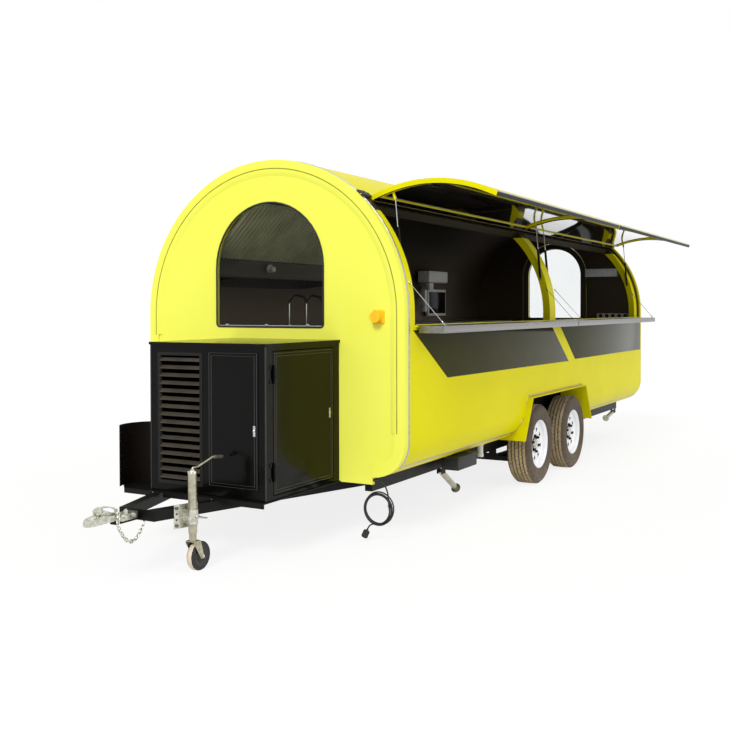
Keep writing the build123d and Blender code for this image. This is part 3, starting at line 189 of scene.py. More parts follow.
def inside_mask(tree):
    """1 on the inner faces of the body's shell, 0 on its outside."""
    x, y, z = coordinates(tree)
    rise = maths(tree, "MAXIMUM", maths(tree, "SUBTRACT", z, ARCH_Z), 0.0)
    reach = distance(tree, y, rise)
    mask = maths(tree, "LESS_THAN", reach, LINED_RADIUS)
    mask = maths(tree, "MULTIPLY", mask, maths(tree, "LESS_THAN", x, LINED_X[1]))
    mask = maths(tree, "MULTIPLY", mask, maths(tree, "GREATER_THAN", x, LINED_X[0]))
    return maths(tree, "MULTIPLY", mask, maths(tree, "GREATER_THAN", z, LINED_Z))


def wheel_box_shade_mask(tree):
    """1 on the faces of a wheel box that look at the tyres or face down, which take near-black painted shade,
    0 on its other outer faces and flaps.
    """
    facing = coordinates(tree, "Normal")
    sideways = maths(tree, "GREATER_THAN", maths(tree, "ABSOLUTE", facing[1]), 0.7)
    within = maths(tree, "LESS_THAN", maths(tree, "ABSOLUTE", coordinates(tree)[1]), HALF)
    downward = maths(tree, "LESS_THAN", facing[2], -0.5)
    return maths(tree, "MAXIMUM", downward, maths(tree, "MULTIPLY", sideways, within))


def front_mask(tree):
    """1 on faces square to the trailer's length, 0 on slanted ones."""
    return maths(tree, "GREATER_THAN", coordinates(tree, "Normal")[0], 0.95)


# Materials by name, and the slot that each belongs to
looks = {}
slots = {}


def material(
    name, slot, colour, second, rough, rough_to, metallic=0.0, scale=6.0, fine=180.0, bump=0.05, depth=0.0006,
    stretch=(1, 1, 1), coat=0.0, ior=1.5, specular=0.5, clear=0.0, lining_and_painted_light=None, dust=None,
):
    """Procedural finish: two tones on a broad noise, roughness that varies, and a fine bump."""
    made = bpy.data.materials.new(name)
    looks[name] = made
    slots[name] = slot
    made.use_nodes = True
    tree = made.node_tree
    shader = tree.nodes["Principled BSDF"]
    broad = noise(tree, scale, stretch=stretch)
    grain = noise(tree, fine, 3.0, stretch)
    tone = blend_colours(tree, spread(tree, broad, 0.0, 1.0), srgb(*colour), srgb(*second))
    tone_rough = spread(tree, grain, rough, rough_to)
    tone_metal = metallic
    if dust is not None:
        dust_colour, dust_top = dust
        low = spread(tree, coordinates(tree)[2], 1.0, 0.0, GROUND, dust_top)
        amount = maths(tree, "MULTIPLY", low, spread(tree, noise(tree, scale * 3), 0.0, 0.8))
        tone = blend_colours(tree, amount, tone, srgb(*dust_colour))
    # Second tone laid by a mask: the steel lining inside the shell and on the beam, painted shade inside the
    # wheel boxes, and the louvre frame's black beside painted light on its slats
    if lining_and_painted_light is not None:
        find_mask, lining_and_light_colour, lining_and_light_rough, lining_and_light_metal = lining_and_painted_light
        mask = find_mask(tree)
        tone = blend_colours(tree, mask, tone, srgb(*lining_and_light_colour))
        tone_rough = maths(tree, "ADD", tone_rough, maths(tree, "MULTIPLY", mask, lining_and_light_rough - rough))
        tone_metal = maths(tree, "MULTIPLY", mask, lining_and_light_metal)
    for key, value in {
        "Base Color": tone, "Roughness": tone_rough, "Metallic": tone_metal, "IOR": ior,
        "Specular IOR Level": specular, "Transmission Weight": clear,
        "Coat Weight": coat, "Coat Roughness": 0.04,
    }.items():
        feed(tree, value, shader.inputs[key])
    raised = node(tree, "ShaderNodeBump", {"Strength": bump, "Distance": depth})
    tree.links.new(grain, raised.inputs["Height"])
    tree.links.new(raised.outputs[0], shader.inputs["Normal"])


STEEL_LINING = (inside_mask, (92, 82, 70), 0.4, 0.9)
BEAM_LINING = (beam_mask, (58, 52, 40), 0.42, 0.6)
# Near-black on the wheel boxes' inner and downward faces: painted shade
BOX_PAINTED_SHADE = (wheel_box_shade_mask, (14, 13, 11), 0.6, 0.0)
# Near-black kept on the louvre's square faces, beside the lighter brown-grey of painted light on its slanted
# slats
LOUVRE_FRAME = (front_mask, (12, 11, 10), 0.3, 0.0)
YELLOW = ((228, 220, 14), (221, 212, 10))
# Lighter, paler yellow for the front wall and its ring: painted sunlight on the face that looks at the key
# light, over the same paint as the sides
SUNLIT_FRONT_YELLOW = ((241, 243, 98), (238, 239, 90))
SATIN = {"ior": 1.1, "scale": 1.3, "fine": 420, "bump": 0.02}
BRUSHED = {"fine": 60, "stretch": (0.05, 6, 6), "bump": 0.03}
TRIM_GRAIN = {"scale": 14, "fine": 160, "stretch": (0.1, 4, 4), "bump": 0.04}
material("yellow_paint", "yellow_paint", *YELLOW, 0.3, 0.36, **SATIN)
material("yellow_paint_lined", "yellow_paint", *YELLOW, 0.3, 0.36, lining_and_painted_light=STEEL_LINING, **SATIN)
material("yellow_paint_front_painted_sunlit", "yellow_paint", *SUNLIT_FRONT_YELLOW, 0.3, 0.36, lining_and_painted_light=STEEL_LINING, **SATIN)
material("yellow_paint_posts", "yellow_paint", *YELLOW, 0.3, 0.36, lining_and_painted_light=BEAM_LINING, **SATIN)
material("yellow_paint_box", "yellow_paint", *YELLOW, 0.3, 0.36, lining_and_painted_light=BOX_PAINTED_SHADE, **SATIN)
material("black_gloss", "black_paint", (4, 4, 4), (8, 8, 7), 0.12, 0.18,
    specular=0.12, scale=3, fine=300, bump=0.02)
# Bottle guard: dark paint lifted to a warm brown, partly its own dark colour and partly a painted reflection
material("guard_black_painted_sheen", "black_paint", (30, 26, 22), (20, 18, 16), 0.22, 0.32,
    specular=0.3, scale=3, fine=300, bump=0.04)
# Louvre: lighter brown-grey on the slanted slats is painted light on them; the square faces keep the
# housing's near-black
material("louvre_black_painted_lit_slats", "black_paint", (76, 70, 60), (58, 53, 45), 0.34, 0.46,
    specular=0.25, scale=8, fine=300, bump=0.08, lining_and_painted_light=LOUVRE_FRAME)
# Lighter black for the housing's beads and corner strips: painted highlight on those edges; the jockey
# wheel's rings use it too
material("edge_black_painted_highlight", "black_paint", (46, 42, 36), (32, 30, 26), 0.3, 0.4,
    specular=0.4, scale=12, fine=300, bump=0.05)
material("black_satin", "black_paint", (12, 11, 10), (20, 19, 17), 0.38, 0.52,
    scale=9, fine=260, bump=0.15, specular=0.15, dust=((96, 88, 78), -0.12))
material("stripe_film_painted_reflection", "black_paint", (46, 45, 0), (54, 53, 2), 0.12, 0.16,
    ior=1.12, specular=0.5, scale=1.5, fine=200, bump=0.01)
material("mirror_black", "black_paint", (16, 14, 14), (24, 21, 20), 0.03, 0.06,
    coat=1.0, scale=2, fine=90, bump=0.01, ior=1.7)
material("galvanised", "galvanised", (196, 192, 172), (158, 152, 128), 0.3, 0.5,
    metallic=0.88, scale=34, fine=120, bump=0.1)
material("stainless", "stainless", (150, 148, 146), (122, 120, 118), 0.24, 0.36,
    metallic=1.0, scale=5, **BRUSHED)
# Darker copy of the brushed steel for the range hood and its casing: painted shade inside the body
material("stainless_painted_shade", "stainless", (70, 64, 58), (50, 46, 42), 0.32, 0.44,
    metallic=0.95, scale=4, **BRUSHED)
material("trim_warm", "stainless", (206, 190, 140), (176, 156, 104), 0.3, 0.45, metallic=0.85, **TRIM_GRAIN)
material("aluminium", "stainless", (196, 196, 196), (168, 168, 170), 0.26, 0.4, metallic=1.0, **TRIM_GRAIN)
# Hood filters: a pale, barely metallic copy of the steel, painted light on parts in the dim inside
material("filter_steel_painted_light", "stainless", (236, 234, 206), (206, 204, 176), 0.3, 0.45,
    metallic=0.25, scale=6, fine=90, bump=0.05)
material("chrome", "chrome", (205, 206, 208), (180, 182, 186), 0.08, 0.16,
    metallic=1.0, scale=20, fine=200, bump=0.01)
material("tyre_rubber", "tyre", (70, 60, 49), (88, 76, 62), 0.72, 0.9,
    scale=14, fine=300, bump=0.3, depth=0.001, dust=((140, 122, 104), -0.1))
material("white_paint", "white_paint", (250, 250, 252), (242, 243, 246), 0.26, 0.38,
    coat=0.4, scale=12, fine=200, bump=0.05)
material("tread_rubber", "tyre", (196, 176, 138), (166, 146, 108), 0.8, 0.95,
    scale=30, fine=300, bump=0.3, depth=0.001)
# Olive colour of the line round the front panel: painted shadow under the raised rim
material("olive_painted_shadow", "yellow_paint", (150, 150, 40), (130, 128, 30), 0.5, 0.6,
    scale=6, fine=200, bump=0.03)
material("glass_tinted", "glass", (206, 208, 196), (198, 200, 188), 0.0, 0.01,
    scale=2, fine=60, bump=0.002, ior=1.12, clear=1.0)
material("glass_clear", "glass", (246, 248, 248), (240, 243, 243), 0.0, 0.01,
    scale=2, fine=60, bump=0.002, ior=1.2, clear=1.0)
material("rubber", "rubber", (22, 22, 22), (34, 34, 34), 0.55, 0.75, scale=30, fine=400, bump=0.2)
material("orange_plastic", "orange_plastic", (250, 200, 16), (244, 184, 10), 0.4, 0.55,
    scale=30, fine=500, bump=0.1)
material("lamp_red", "lamp_plastic", (150, 14, 12), (120, 8, 8), 0.12, 0.2,
    coat=1.0, scale=60, fine=400, bump=0.05)
material("lamp_clear", "lamp_plastic", (226, 228, 228), (200, 203, 205), 0.2, 0.35,
    coat=0.5, scale=50, fine=400, bump=0.05)
material("lamp_amber", "lamp_plastic", (226, 128, 20), (206, 108, 12), 0.14, 0.22,
    coat=1.0, scale=60, fine=400, bump=0.05)
material("black_plastic", "black_plastic", (20, 20, 20), (32, 32, 32), 0.5, 0.68,
    scale=40, fine=600, bump=0.25)
material("white_plastic", "white_paint", (226, 226, 222), (208, 208, 204), 0.4, 0.55,
    scale=30, fine=400, bump=0.08)
material("floor_board", "floor", (84, 80, 76), (66, 62, 60), 0.6, 0.8, scale=20, fine=200, bump=0.3)
material("zinc_worn", "galvanised", (120, 118, 114), (88, 84, 80), 0.5, 0.7,
    metallic=0.7, scale=30, fine=200, bump=0.2)
material("beige_rubber", "rubber", (224, 208, 188), (206, 188, 166), 0.6, 0.8, scale=40, fine=300, bump=0.2)
material("grip_black", "black_plastic", (84, 80, 74), (64, 61, 56), 0.45, 0.6, scale=60, fine=500, bump=0.3)
material("zinc_bright", "galvanised", (222, 222, 212), (176, 176, 158), 0.16, 0.36,
    metallic=0.9, scale=50, fine=200, bump=0.08)
material("brass", "chrome", (190, 150, 80), (160, 124, 62), 0.25, 0.4,
    metallic=1.0, scale=30, fine=200, bump=0.04)

# Look of each node that the CAD model brings
node_looks = {
    "yellow_paint_front_painted_sunlit": "front_wall",
    "glass_tinted": "front_window",
    "yellow_paint_lined": "rear_wall left_side right_side roof door",
    "floor_board": "floor",
    "yellow_paint_posts": "body_posts",
    "chrome": "shelf_front_stays shelf_rear_stays taps hatch_front_rods hatch_rear_rods",
    "yellow_paint_box": "wheel_box_left wheel_box_right",
    "black_satin": "chassis_rails cross_members drawbar running_gear platform",
    "zinc_bright": "coupling safety_chain jockey_clamp",
    "black_gloss": "generator_housing generator_side_door hatch_front_barrels hatch_rear_barrels",
    "louvre_black_painted_lit_slats": "generator_louvre",
    "guard_black_painted_sheen": "bottle_guard",
    "orange_plastic": "power_inlet",
    "lamp_clear": "lamps",
    "stainless": "left_counter right_counter shelf_front shelf_rear",
    "stainless_painted_shade": "range_hood",
    "black_plastic": "lead_gland lead_plug",
    "rubber": "lead lead_coil jockey_wheel",
    "glass_clear": "door_window",
    "galvanised": (
        "jockey_tube jockey_leg jockey_fork "
        "steady_front_left steady_front_right steady_rear_left steady_rear_right"
    ),
    "yellow_paint": "hatch_front hatch_rear",
    "tyre_rubber": "tyre_front_left tyre_front_right tyre_rear_left tyre_rear_right",
    "white_paint": "wheel_front_left wheel_front_right wheel_rear_left wheel_rear_right",
}
for look, names in node_looks.items():
    for name in names.split():
        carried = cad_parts[name]
        if not carried.material_slots:
            carried.data.materials.append(looks[look])
        for place in carried.material_slots:
            place.material = looks[look]


def square_to(direction):
    """A direction, and two more that are square to it and to each other."""
    along = Vector(direction).normalized()
    guide = Vector((0, 0, 1)) if abs(along.z) < 0.9 else Vector((1, 0, 0))
    across = along.cross(guide).normalized()
    return along, across, across.cross(along)


class Build:
    """A mesh piece in the making: shapes are added, then it is finished and rides on a body."""

    def __init__(self):
        self.bm = bmesh.new()

    def ring_strip(self, rings, closed_rings=False, caps=True):
        """Faces between successive rings of points."""
        made = [[self.bm.verts.new(point) for point in ring] for ring in rings]
        count = len(made[0])
        pairs = list(zip(made, made[1:]))
        if closed_rings:
            pairs.append((made[-1], made[0]))
        for first, second in pairs:
            for place in range(count):
                after = (place + 1) % count
                self.bm.faces.new((first[place], first[after], second[after], second[place]))
        if caps and not closed_rings:
            self.bm.faces.new(list(reversed(made[0])))
            self.bm.faces.new(made[-1])
        return self

    def sweep(self, path, section, up=(0, 0, 1), closed=False):
        """A section, given as pairs across and up, carried along a path."""
        points = [Vector(point) for point in path]
        rings = []
        for place, point in enumerate(points):
            if closed:
                before, after = points[place - 1], points[(place + 1) % len(points)]
            else:
                before, after = points[max(place - 1, 0)], points[min(place + 1, len(points) - 1)]
            along = (after - before).normalized()
            guide = Vector(up)
            if abs(along.dot(guide)) > 0.98:
                guide = Vector((1, 0, 0)) if abs(along.x) < 0.9 else Vector((0, 1, 0))
            across = along.cross(guide).normalized()
            above = across.cross(along).normalized()
            if 0 < place < len(points) - 1 or closed:
                first, second = (point - before).normalized(), (after - point).normalized()
                half = max(0.35, math.sqrt(max(0.0, (1 + first.dot(second)) / 2)))
                bend = (second - first)
                bend = bend.normalized() if bend.length > 1e-6 else Vector((0, 0, 0))
            else:
                half, bend = 1.0, Vector((0, 0, 0))
            ring = []
            for wide, high in section:
                offset = across * wide + above * high
                offset += bend * (offset.dot(bend)) * (1 / half - 1)
                ring.append(point + offset)
            rings.append(ring)
        return self.ring_strip(rings, closed_rings=closed)

    def tube(self, path, radius, sides=14, up=(0, 0, 1), closed=False):
        """Round bar along a path."""
        section = [
            (radius * math.cos(2 * math.pi * side / sides), radius * math.sin(2 * math.pi * side / sides))
            for side in range(sides)
        ]
        return self.sweep(path, section, up, closed)

    def slab(self, centre, size, bevel=0.002, turn=None):
        """Block with softened edges, about its centre."""
        part = bmesh.new()
        bmesh.ops.create_cube(part, size=1.0)
        bmesh.ops.scale(part, vec=size, verts=part.verts)
        if bevel:
            bmesh.ops.bevel(
                part, geom=part.edges[:], offset=min(bevel, min(size) * 0.45), segments=2,
                profile=0.6, affect="EDGES",
            )
        where = Matrix.Translation(centre) @ (turn.to_4x4() if turn else Matrix.Identity(4))
        bmesh.ops.transform(part, matrix=where, verts=part.verts)
        self.take(part)
        return self

    def lathe(self, centre, direction, profile, sides=40, turn=0.0):
        """Profile of pairs (along, radius) turned about a direction."""
        along, across, above = square_to(direction)
        angles = [turn + 2 * math.pi * side / sides for side in range(sides)]
        rings = []
        for reach, radius in profile:
            middle, radius = Vector(centre) + along * reach, max(radius, 0.00005)
            rings.append([middle + (across * math.cos(a) + above * math.sin(a)) * radius for a in angles])
        return self.ring_strip(rings)

    def nut(self, centre, direction, across_flats, height, turn=0.0):
        """Hexagon nut with a chamfered top and a bolt end."""
        shape = ((0, 1.0), (0.8, 1.0), (1, 0.86), (1, 0.5), (1.35, 0.46))
        profile = [(height * reach, across_flats * 0.577 * radius) for reach, radius in shape]
        return self.lathe(centre, direction, profile, 6, turn)

    def prism(self, outline, lift, bevel=0.0):
        """Flat outline of 3-D points, thickened by a vector."""
        part = bmesh.new()
        low = [part.verts.new(point) for point in outline]
        face = part.faces.new(low)
        made = bmesh.ops.extrude_face_region(part, geom=[face])
        moved = [item for item in made["geom"] if isinstance(item, bmesh.types.BMVert)]
        bmesh.ops.translate(part, vec=lift, verts=moved)
        bmesh.ops.recalc_face_normals(part, faces=part.faces)
        if bevel:
            bmesh.ops.bevel(part, geom=part.edges[:], offset=bevel, segments=2, profile=0.6, affect="EDGES")
        self.take(part)
        return self

    def take(self, part):
        """Adds another mesh's faces."""
        copied = {vert: self.bm.verts.new(vert.co) for vert in part.verts}
        for face in part.faces:
            self.bm.faces.new([copied[vert] for vert in face.verts])
        part.free()

    def turned(self, matrix):
        """The shapes so far, moved by a matrix."""
        bmesh.ops.transform(self.bm, matrix=matrix, verts=self.bm.verts)
        return self

    def finish(self, name, look, body="trailer", slot=None, sharp=35.0):
        """The piece as an object with its look and its body; the slot is looked up but not used."""
        bmesh.ops.recalc_face_normals(self.bm, faces=self.bm.faces)
        mesh = bpy.data.meshes.new(name)
        self.bm.to_mesh(mesh)
        self.bm.free()
        mesh.materials.append(looks[look])
        mesh.shade_smooth()
        mesh.set_sharp_from_angle(angle=math.radians(sharp))
        made = bpy.data.objects.new(name, mesh)
        bpy.context.scene.collection.objects.link(made)
        if body is not None:
            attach(made, body)
        slot = slot or slots.get(look)
        return made


def arch(radius, angle, x):
    """Point on the body's section at an angle up from the serving side."""
    turn = math.radians(angle)
    return Vector((x, radius * math.cos(turn), ARCH_Z + radius * math.sin(turn)))


def arch_sheet(radii, angles, ends, steps):
    """Thin sheet between two radii, curved with the body's arch."""
    corners = ((radii[0], ends[0]), (radii[0], ends[1]), (radii[1], ends[1]), (radii[1], ends[0]))
    rings = []
    for place in range(steps + 1):
        angle = angles[0] + (angles[1] - angles[0]) * place / steps
        rings.append([arch(radius, angle, x) for radius, x in corners])
    return Build().ring_strip(rings)


def section_path(x, outset, bottom, steps=40):
    """The body's section from low on the serving side, over the arch and down the far side."""
    side = HALF + outset
    corner = CORNER + outset
    corner_z = UNDER_Z + CORNER
    start = math.degrees(math.asin(max(-1.0, min(0.0, (bottom - corner_z) / corner))))
    near = []
    for place in range(8):
        turn = math.radians(start * (1 - place / 7))
        near.append(Vector((x, HALF - CORNER + corner * math.cos(turn), corner_z + corner * math.sin(turn))))
    top = [arch(side, 180 * place / steps, x) for place in range(steps + 1)]
    far = [Vector((x, -point.y, point.z)) for point in reversed(near)]
    return near + top + far


# The lead: gland, hanging run, loose coil and plug, on one smooth line
LEAD_X = FRONT - 0.026
COIL = Vector((LEAD_X, 0.8, -0.145))


def coil_at(angle, radius, shift_y=0.0, shift_z=0.0, lift=0.0):
    """Point of a loose turn, angle measured up from the serving side."""
    turn = math.radians(angle)
    return (
        LEAD_X + lift,
        COIL.y + shift_y + radius * math.cos(turn),
        COIL.z + shift_z + radius * math.sin(turn),
    )


route = [
    (LEAD_X, 0.784, 0.032),
    (LEAD_X, 0.816, 0.032),
    (LEAD_X, 0.848, 0.008),
    (LEAD_X, 0.866, -0.028),
    (LEAD_X, 0.874, -0.066),
]
turns = (
    (0.085, 0.0, 0.0, 0.0068),
    (0.0985, 0.002, -0.002, 0.0068),
    (0.099, -0.001, 0.001, -0.0068),
    (0.0855, 0.001, 0.002, -0.0068),
    (0.113, 0.002, 0.0, -0.003),
)
for count in range(4):
    for step in range(14):
        angle = 22 - (count * 14 + step) * 360 / 14
        share = step / 14
        here = [a + (b - a) * share for a, b in zip(turns[count], turns[count + 1])]
        if count == 3:
            here[3] -= 0.014 * math.sin(math.pi * share)
        route.append(coil_at(angle, *here))
for step in range(4):
    share = step / 4
    route.append(coil_at(
        22 - step * 28, 0.113 - 0.018 * share, 0.002 - 0.002 * share, 0.0, -0.003 + 0.003 * share,
    ))
route += [
    (LEAD_X, 0.7968, -0.2369),
    (LEAD_X, 0.766, -0.238),
    (LEAD_X, 0.738, -0.251),
    (LEAD_X, 0.726, -0.277),
]
curve = bpy.data.curves.new("lead_cable", "CURVE")
curve.dimensions = "3D"
spline = curve.splines.new("NURBS")
spline.points.add(len(route) - 1)
for point, where in zip(spline.points, route):
    point.co = (*where, 1.0)
spline.order_u = 3
spline.use_endpoint_u = True
spline.resolution_u = 6
plain = bpy.data.objects.new("lead_line", curve)
line = bpy.data.meshes.new_from_object(plain)
bpy.data.meshes.remove(line)
bpy.data.objects.remove(plain)
curve.bevel_depth = 0.0045
curve.bevel_resolution = 5
curve.use_fill_caps = True
curve.materials.append(looks["rubber"])
lead = bpy.data.objects.new("lead_cable", curve)
bpy.context.scene.collection.objects.link(lead)
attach(lead, "trailer")
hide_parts("lead", "lead_coil")

# Plug with its grip rings and pins
plug_top = Vector((LEAD_X, 0.726, -0.277))
plug_way = (plug_top - Vector((LEAD_X, 0.738, -0.251))).normalized()
plug = Build().lathe(plug_top, plug_way, (
    (-0.004, 0.0052), (0.004, 0.0085), (0.008, 0.0105), (0.012, 0.0195), (0.016, 0.0208), (0.018, 0.0188),
    (0.021, 0.0188), (0.023, 0.0208), (0.027, 0.0208), (0.029, 0.0188), (0.032, 0.0188), (0.034, 0.0208),
    (0.05, 0.0208), (0.052, 0.0198), (0.052, 0.0172), (0.036, 0.0165),
)).finish("lead_plug_shell", "black_plastic")
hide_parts("lead_plug")
pins = Build()
for side in range(3):
    angle = math.radians(90 + 120 * side)
    offset = Vector((math.cos(angle), 0, 0)) + Vector((0, plug_way.z, -plug_way.y)) * math.sin(angle)
    pins.lathe(plug_top + offset * 0.009, plug_way, ((0.034, 0.0028), (0.0505, 0.0028), (0.0515, 0.002)), 14)
pins = pins.finish("lead_plug_pins", "brass")
tie = Build()
tie_at = Vector(coil_at(22, 0.093))
tie.tube([
    tie_at + Vector((0.0215 * math.sin(a), 0, 0)) + (tie_at - COIL).normalized() * (0.0175 * math.cos(a))
    for a in [2 * math.pi * step / 20 for step in range(20)]
], 0.0016, 8, closed=True)
tie = tie.finish("lead_tie", "black_plastic")
relief = Build().lathe((LEAD_X, 0.784, 0.032), (0, 1, 0), (
    (-0.0005, 0.0085), (0.002, 0.0085), (0.003, 0.0078), (0.007, 0.0074), (0.008, 0.0068), (0.012, 0.0066),
    (0.013, 0.006), (0.017, 0.0058), (0.018, 0.0052), (0.021, 0.0048),
), 24).finish("lead_relief", "rubber")

# Dark glossy side panels, on both sides, tinted dark olive as a painted reflection of the yellow body and
# ground
for side, tag in SIDES:
    for part, corners in (
        ("front", ((-1.66, 0.955), (-2.165, 0.635), (-4.745, 0.619), (-4.252, 0.955))),
        ("rear", ((-4.479, 0.955), (-4.936, 0.628), (-7.358, 0.624), (-7.358, 0.955))),
    ):
        Build().prism(
            [(x, side * HALF, z) for x, z in corners], (0, side * 0.0016, 0), 0.0004,
        ).finish(f"side_panel_{tag}_{part}", "stripe_film_painted_reflection")

# Thin metal trims: round the front edge, along the low side seams and round the wheel boxes
flat_trim = [(-0.009, 0.0), (-0.007, 0.0028), (-0.002, 0.004), (0.002, 0.004), (0.007, 0.0028), (0.009, 0.0)]
trim = Build()
rings = []
for low, high in zip(section_path(-1.606, 0.0, 0.12), section_path(-1.606, 0.0042, 0.12)):
    outward = (high - low)
    rings.append([low + Vector((wide, 0, 0)) + outward * (tall / 0.004) for wide, tall in flat_trim])
trim.ring_strip(rings)
trim.finish("front_edge_trim", "aluminium")
BOX = {"front_low": -3.52, "rear_low": -5.32, "front_top": -3.705, "rear_top": -5.135, "top": 0.38}
seam_z = 0.118
seam_turn = math.asin((seam_z - UNDER_Z - CORNER) / CORNER)
box_slope = (BOX["front_low"] - BOX["front_top"]) / (BOX["top"] - UNDER_Z)
front_meet = BOX["front_low"] - box_slope * (seam_z - UNDER_Z)
rear_meet = BOX["rear_low"] + box_slope * (seam_z - UNDER_Z)
half_round = [(-0.011, -0.001), (-0.009, 0.0028), (0.0, 0.0044), (0.009, 0.0028), (0.011, -0.001)]
for side, tag in SIDES:
    seams = Build()
    for start, end in ((-1.612, front_meet + 0.012), (rear_meet - 0.012, -7.375)):
        ring = []
        for wide, tall in half_round:
            turn, reach = seam_turn + wide / CORNER, CORNER + tall
            y, z = HALF - CORNER + reach * math.cos(turn), UNDER_Z + CORNER + reach * math.sin(turn)
            ring.append((side * y, z))
        stations = [start + (end - start) * place / 12 for place in range(13)]
        seams.ring_strip([[(x, y, z) for y, z in ring] for x in stations])
    seams.finish(f"low_seam_trim_{tag}", "trim_warm")
    edge = Build()
    out = 0.009
    corners = [
        (front_meet + out + 0.003, seam_z),
        (BOX["front_low"] - box_slope * (0.2 - UNDER_Z) + out, 0.2),
        (BOX["front_top"] + out * 0.7, BOX["top"] + out),
        (BOX["rear_top"] - out * 0.7, BOX["top"] + out),
        (BOX["rear_low"] + box_slope * (0.2 - UNDER_Z) - out, 0.2),
        (rear_meet - out - 0.003, seam_z),
    ]
    path = []
    for x, z in corners:
        drop = max(0.0, UNDER_Z + CORNER - z)
        y = HALF - CORNER + math.sqrt(CORNER**2 - drop**2)
        path.append((x, side * (y + 0.0008), z))
    edge.tube(path, 0.0055, 10, up=(0, 1, 0))
    edge.finish(f"wheel_box_trim_{tag}", "trim_warm")

# Liners, hinge strips, dark edge strips of painted shade, edge rails and end seals of the hatches, drawn
# closed and then opened
open_hatch = (
    Matrix.Translation((0, HINGE_Y, HINGE_Z))
    @ Matrix.Rotation(HATCH_TURN, 4, "X")
    @ Matrix.Translation((0, -HINGE_Y, -HINGE_Z))
)
hatch_spans = {"hatch_front": (-1.695, -4.418), "hatch_rear": (-4.432, -7.35)}
for name, (start, end) in hatch_spans.items():
    liner = arch_sheet((0.9793, 0.9799), (1.5, 44.3), (start - 0.046, end + 0.046), 48)
    liner.turned(open_hatch).finish(name + "_liner", "mirror_black", name)
    strip = arch_sheet((0.9688, 0.9698), (44.45, 46.9), (start - 0.001, end + 0.001), 6)
    strip.turned(open_hatch).finish(name + "_hinge_strip", "mirror_black", name)
    low = ARCH_Z - 0.055
    # Dark rubber strip on each hatch's low edge face: painted shade where that face lies in shadow
    Build().prism([
        (
            start - 0.004, 0.9712, low,
        ), (start - 0.004, 0.9965, low), (end + 0.004, 0.9965, low), (end + 0.004, 0.9712, low),
    ], (0, 0, -0.0022), 0.0006).turned(open_hatch).finish(name + "_edge_shade_strip", "rubber", name)
    rail = Build()
    section = [
        (0.9965, -0.0028), (1.0016, -0.0028), (1.0022, 0.0), (1.0022, 0.016), (1.0004, 0.016),
        (1.0004, -0.001), (0.9965, -0.001),
    ]
    rings = []
    for x in (start - 0.002, start - 0.3, (start + end) / 2, end + 0.3, end + 0.002):
        rings.append([(x, y, low + z) for y, z in section])
    rail.ring_strip(rings)
    rail.turned(open_hatch).finish(name + "_edge_rail", "aluminium", name)
    seal = Build()
    for x in (start - 0.01, end + 0.01):
        seal.tube(
            [arch(0.9685, angle, x) for angle in [0.5 + 44 * place / 24 for place in range(25)]], 0.0035, 8,
        )
    seal.turned(open_hatch).finish(name + "_seals", "rubber", name)

# Rubber seals of the windows
def arched_path(x, half, sill, top):
    """Closed line of an arched opening on an end wall."""
    spring, corner = top - half, 0.02
    arc = [math.pi * place / 24 for place in range(25)]
    foot = [
        (half, (spring + sill) / 2), (half, sill + corner),
        (half - corner * 0.3, sill + corner * 0.3), (half - corner, sill),
    ]
    line = [(half * math.cos(turn), spring + half * math.sin(turn)) for turn in arc]
    line += [(-y, z) for y, z in foot] + [(0.0, sill)] + foot[::-1]
    return [(x, y, z) for y, z in line]


Build().tube(
    arched_path(PANEL_X + 0.001, 0.4205, 0.9695, 1.7775), 0.006, 10, up=(1, 0, 0), closed=True,
).finish("front_window_seal", "rubber")
Build().tube(
    arched_path(-7.3905, 0.3165, 0.9695, 1.7815), 0.006, 10, up=(1, 0, 0), closed=True,
).finish("door_window_seal", "rubber", "door")

# Tyres: side walls with rings, and a tread of blocks between grooves
tyre_columns = []
grooves = (-0.045, -0.016, 0.016, 0.045)
for groove in grooves:
    tyre_columns += [groove - 0.0052, groove - 0.004, groove + 0.004, groove + 0.0052]
tyre_columns = [-0.07] + tyre_columns + [0.07]


def tyre_piece(name, x, side):
    """One tyre, built as rings round its axle."""
    around = 56 * 4
    shoulder = [
        (-0.0751, 0.1975), (-0.0835, 0.2), (-0.09, 0.212), (-0.0945, 0.232), (-0.0972, 0.256),
        (-0.0966, 0.2585), (-0.0975, 0.261), (-0.0955, 0.28), (-0.0915, 0.2965), (-0.09, 0.2975),
        (-0.0885, 0.3045), (-0.0815, 0.3115), (-0.076, 0.3165),
    ]
    outer = [(across, radius, "wall") for across, radius in shoulder]
    for across in tyre_columns:
        deep = any(abs(across - groove) < 0.0045 for groove in grooves)
        crown = 0.3248 - 0.0022 * (abs(across) / 0.07) ** 2
        outer.append((across, crown - (0.0075 if deep else 0.0), "groove" if deep else "tread"))
    outer += [(-across, radius, "wall") for across, radius in reversed(shoulder)]
    rings = []
    for place in range(around):
        phase = place % 4
        ring = []
        for across, radius, kind in outer:
            shift = 0.0
            if kind == "tread":
                column = sum(1 for groove in grooves if across > groove)
                cut = (phase + column * 2) % 4
                if cut == 0:
                    radius -= 0.0055
                shift = 0.35 * abs(across) / 0.07 if abs(across) > 0.05 else 0.0
            elif kind == "wall" and 0.303 < radius < 0.3175:
                if phase in (0, 1):
                    radius -= 0.0035
            angle = 2 * math.pi * (place + 0.22 * (phase in (1, 3)) + shift) / around
            ring.append((
                x + radius * math.cos(angle),
                side * (WHEEL_Y + across),
                WHEEL_Z + radius * math.sin(angle),
            ))
        rings.append(ring)
    made = Build().ring_strip(
        rings, closed_rings=True, caps=False,
    ).finish(name, "tyre_rubber", None, sharp=28)
    made.data.materials.append(looks["tread_rubber"])
    for face in made.data.polygons:
        if math.hypot(face.center.x - x, face.center.z - WHEEL_Z) > TREAD_RADIUS:
            face.material_index = 1
    return made


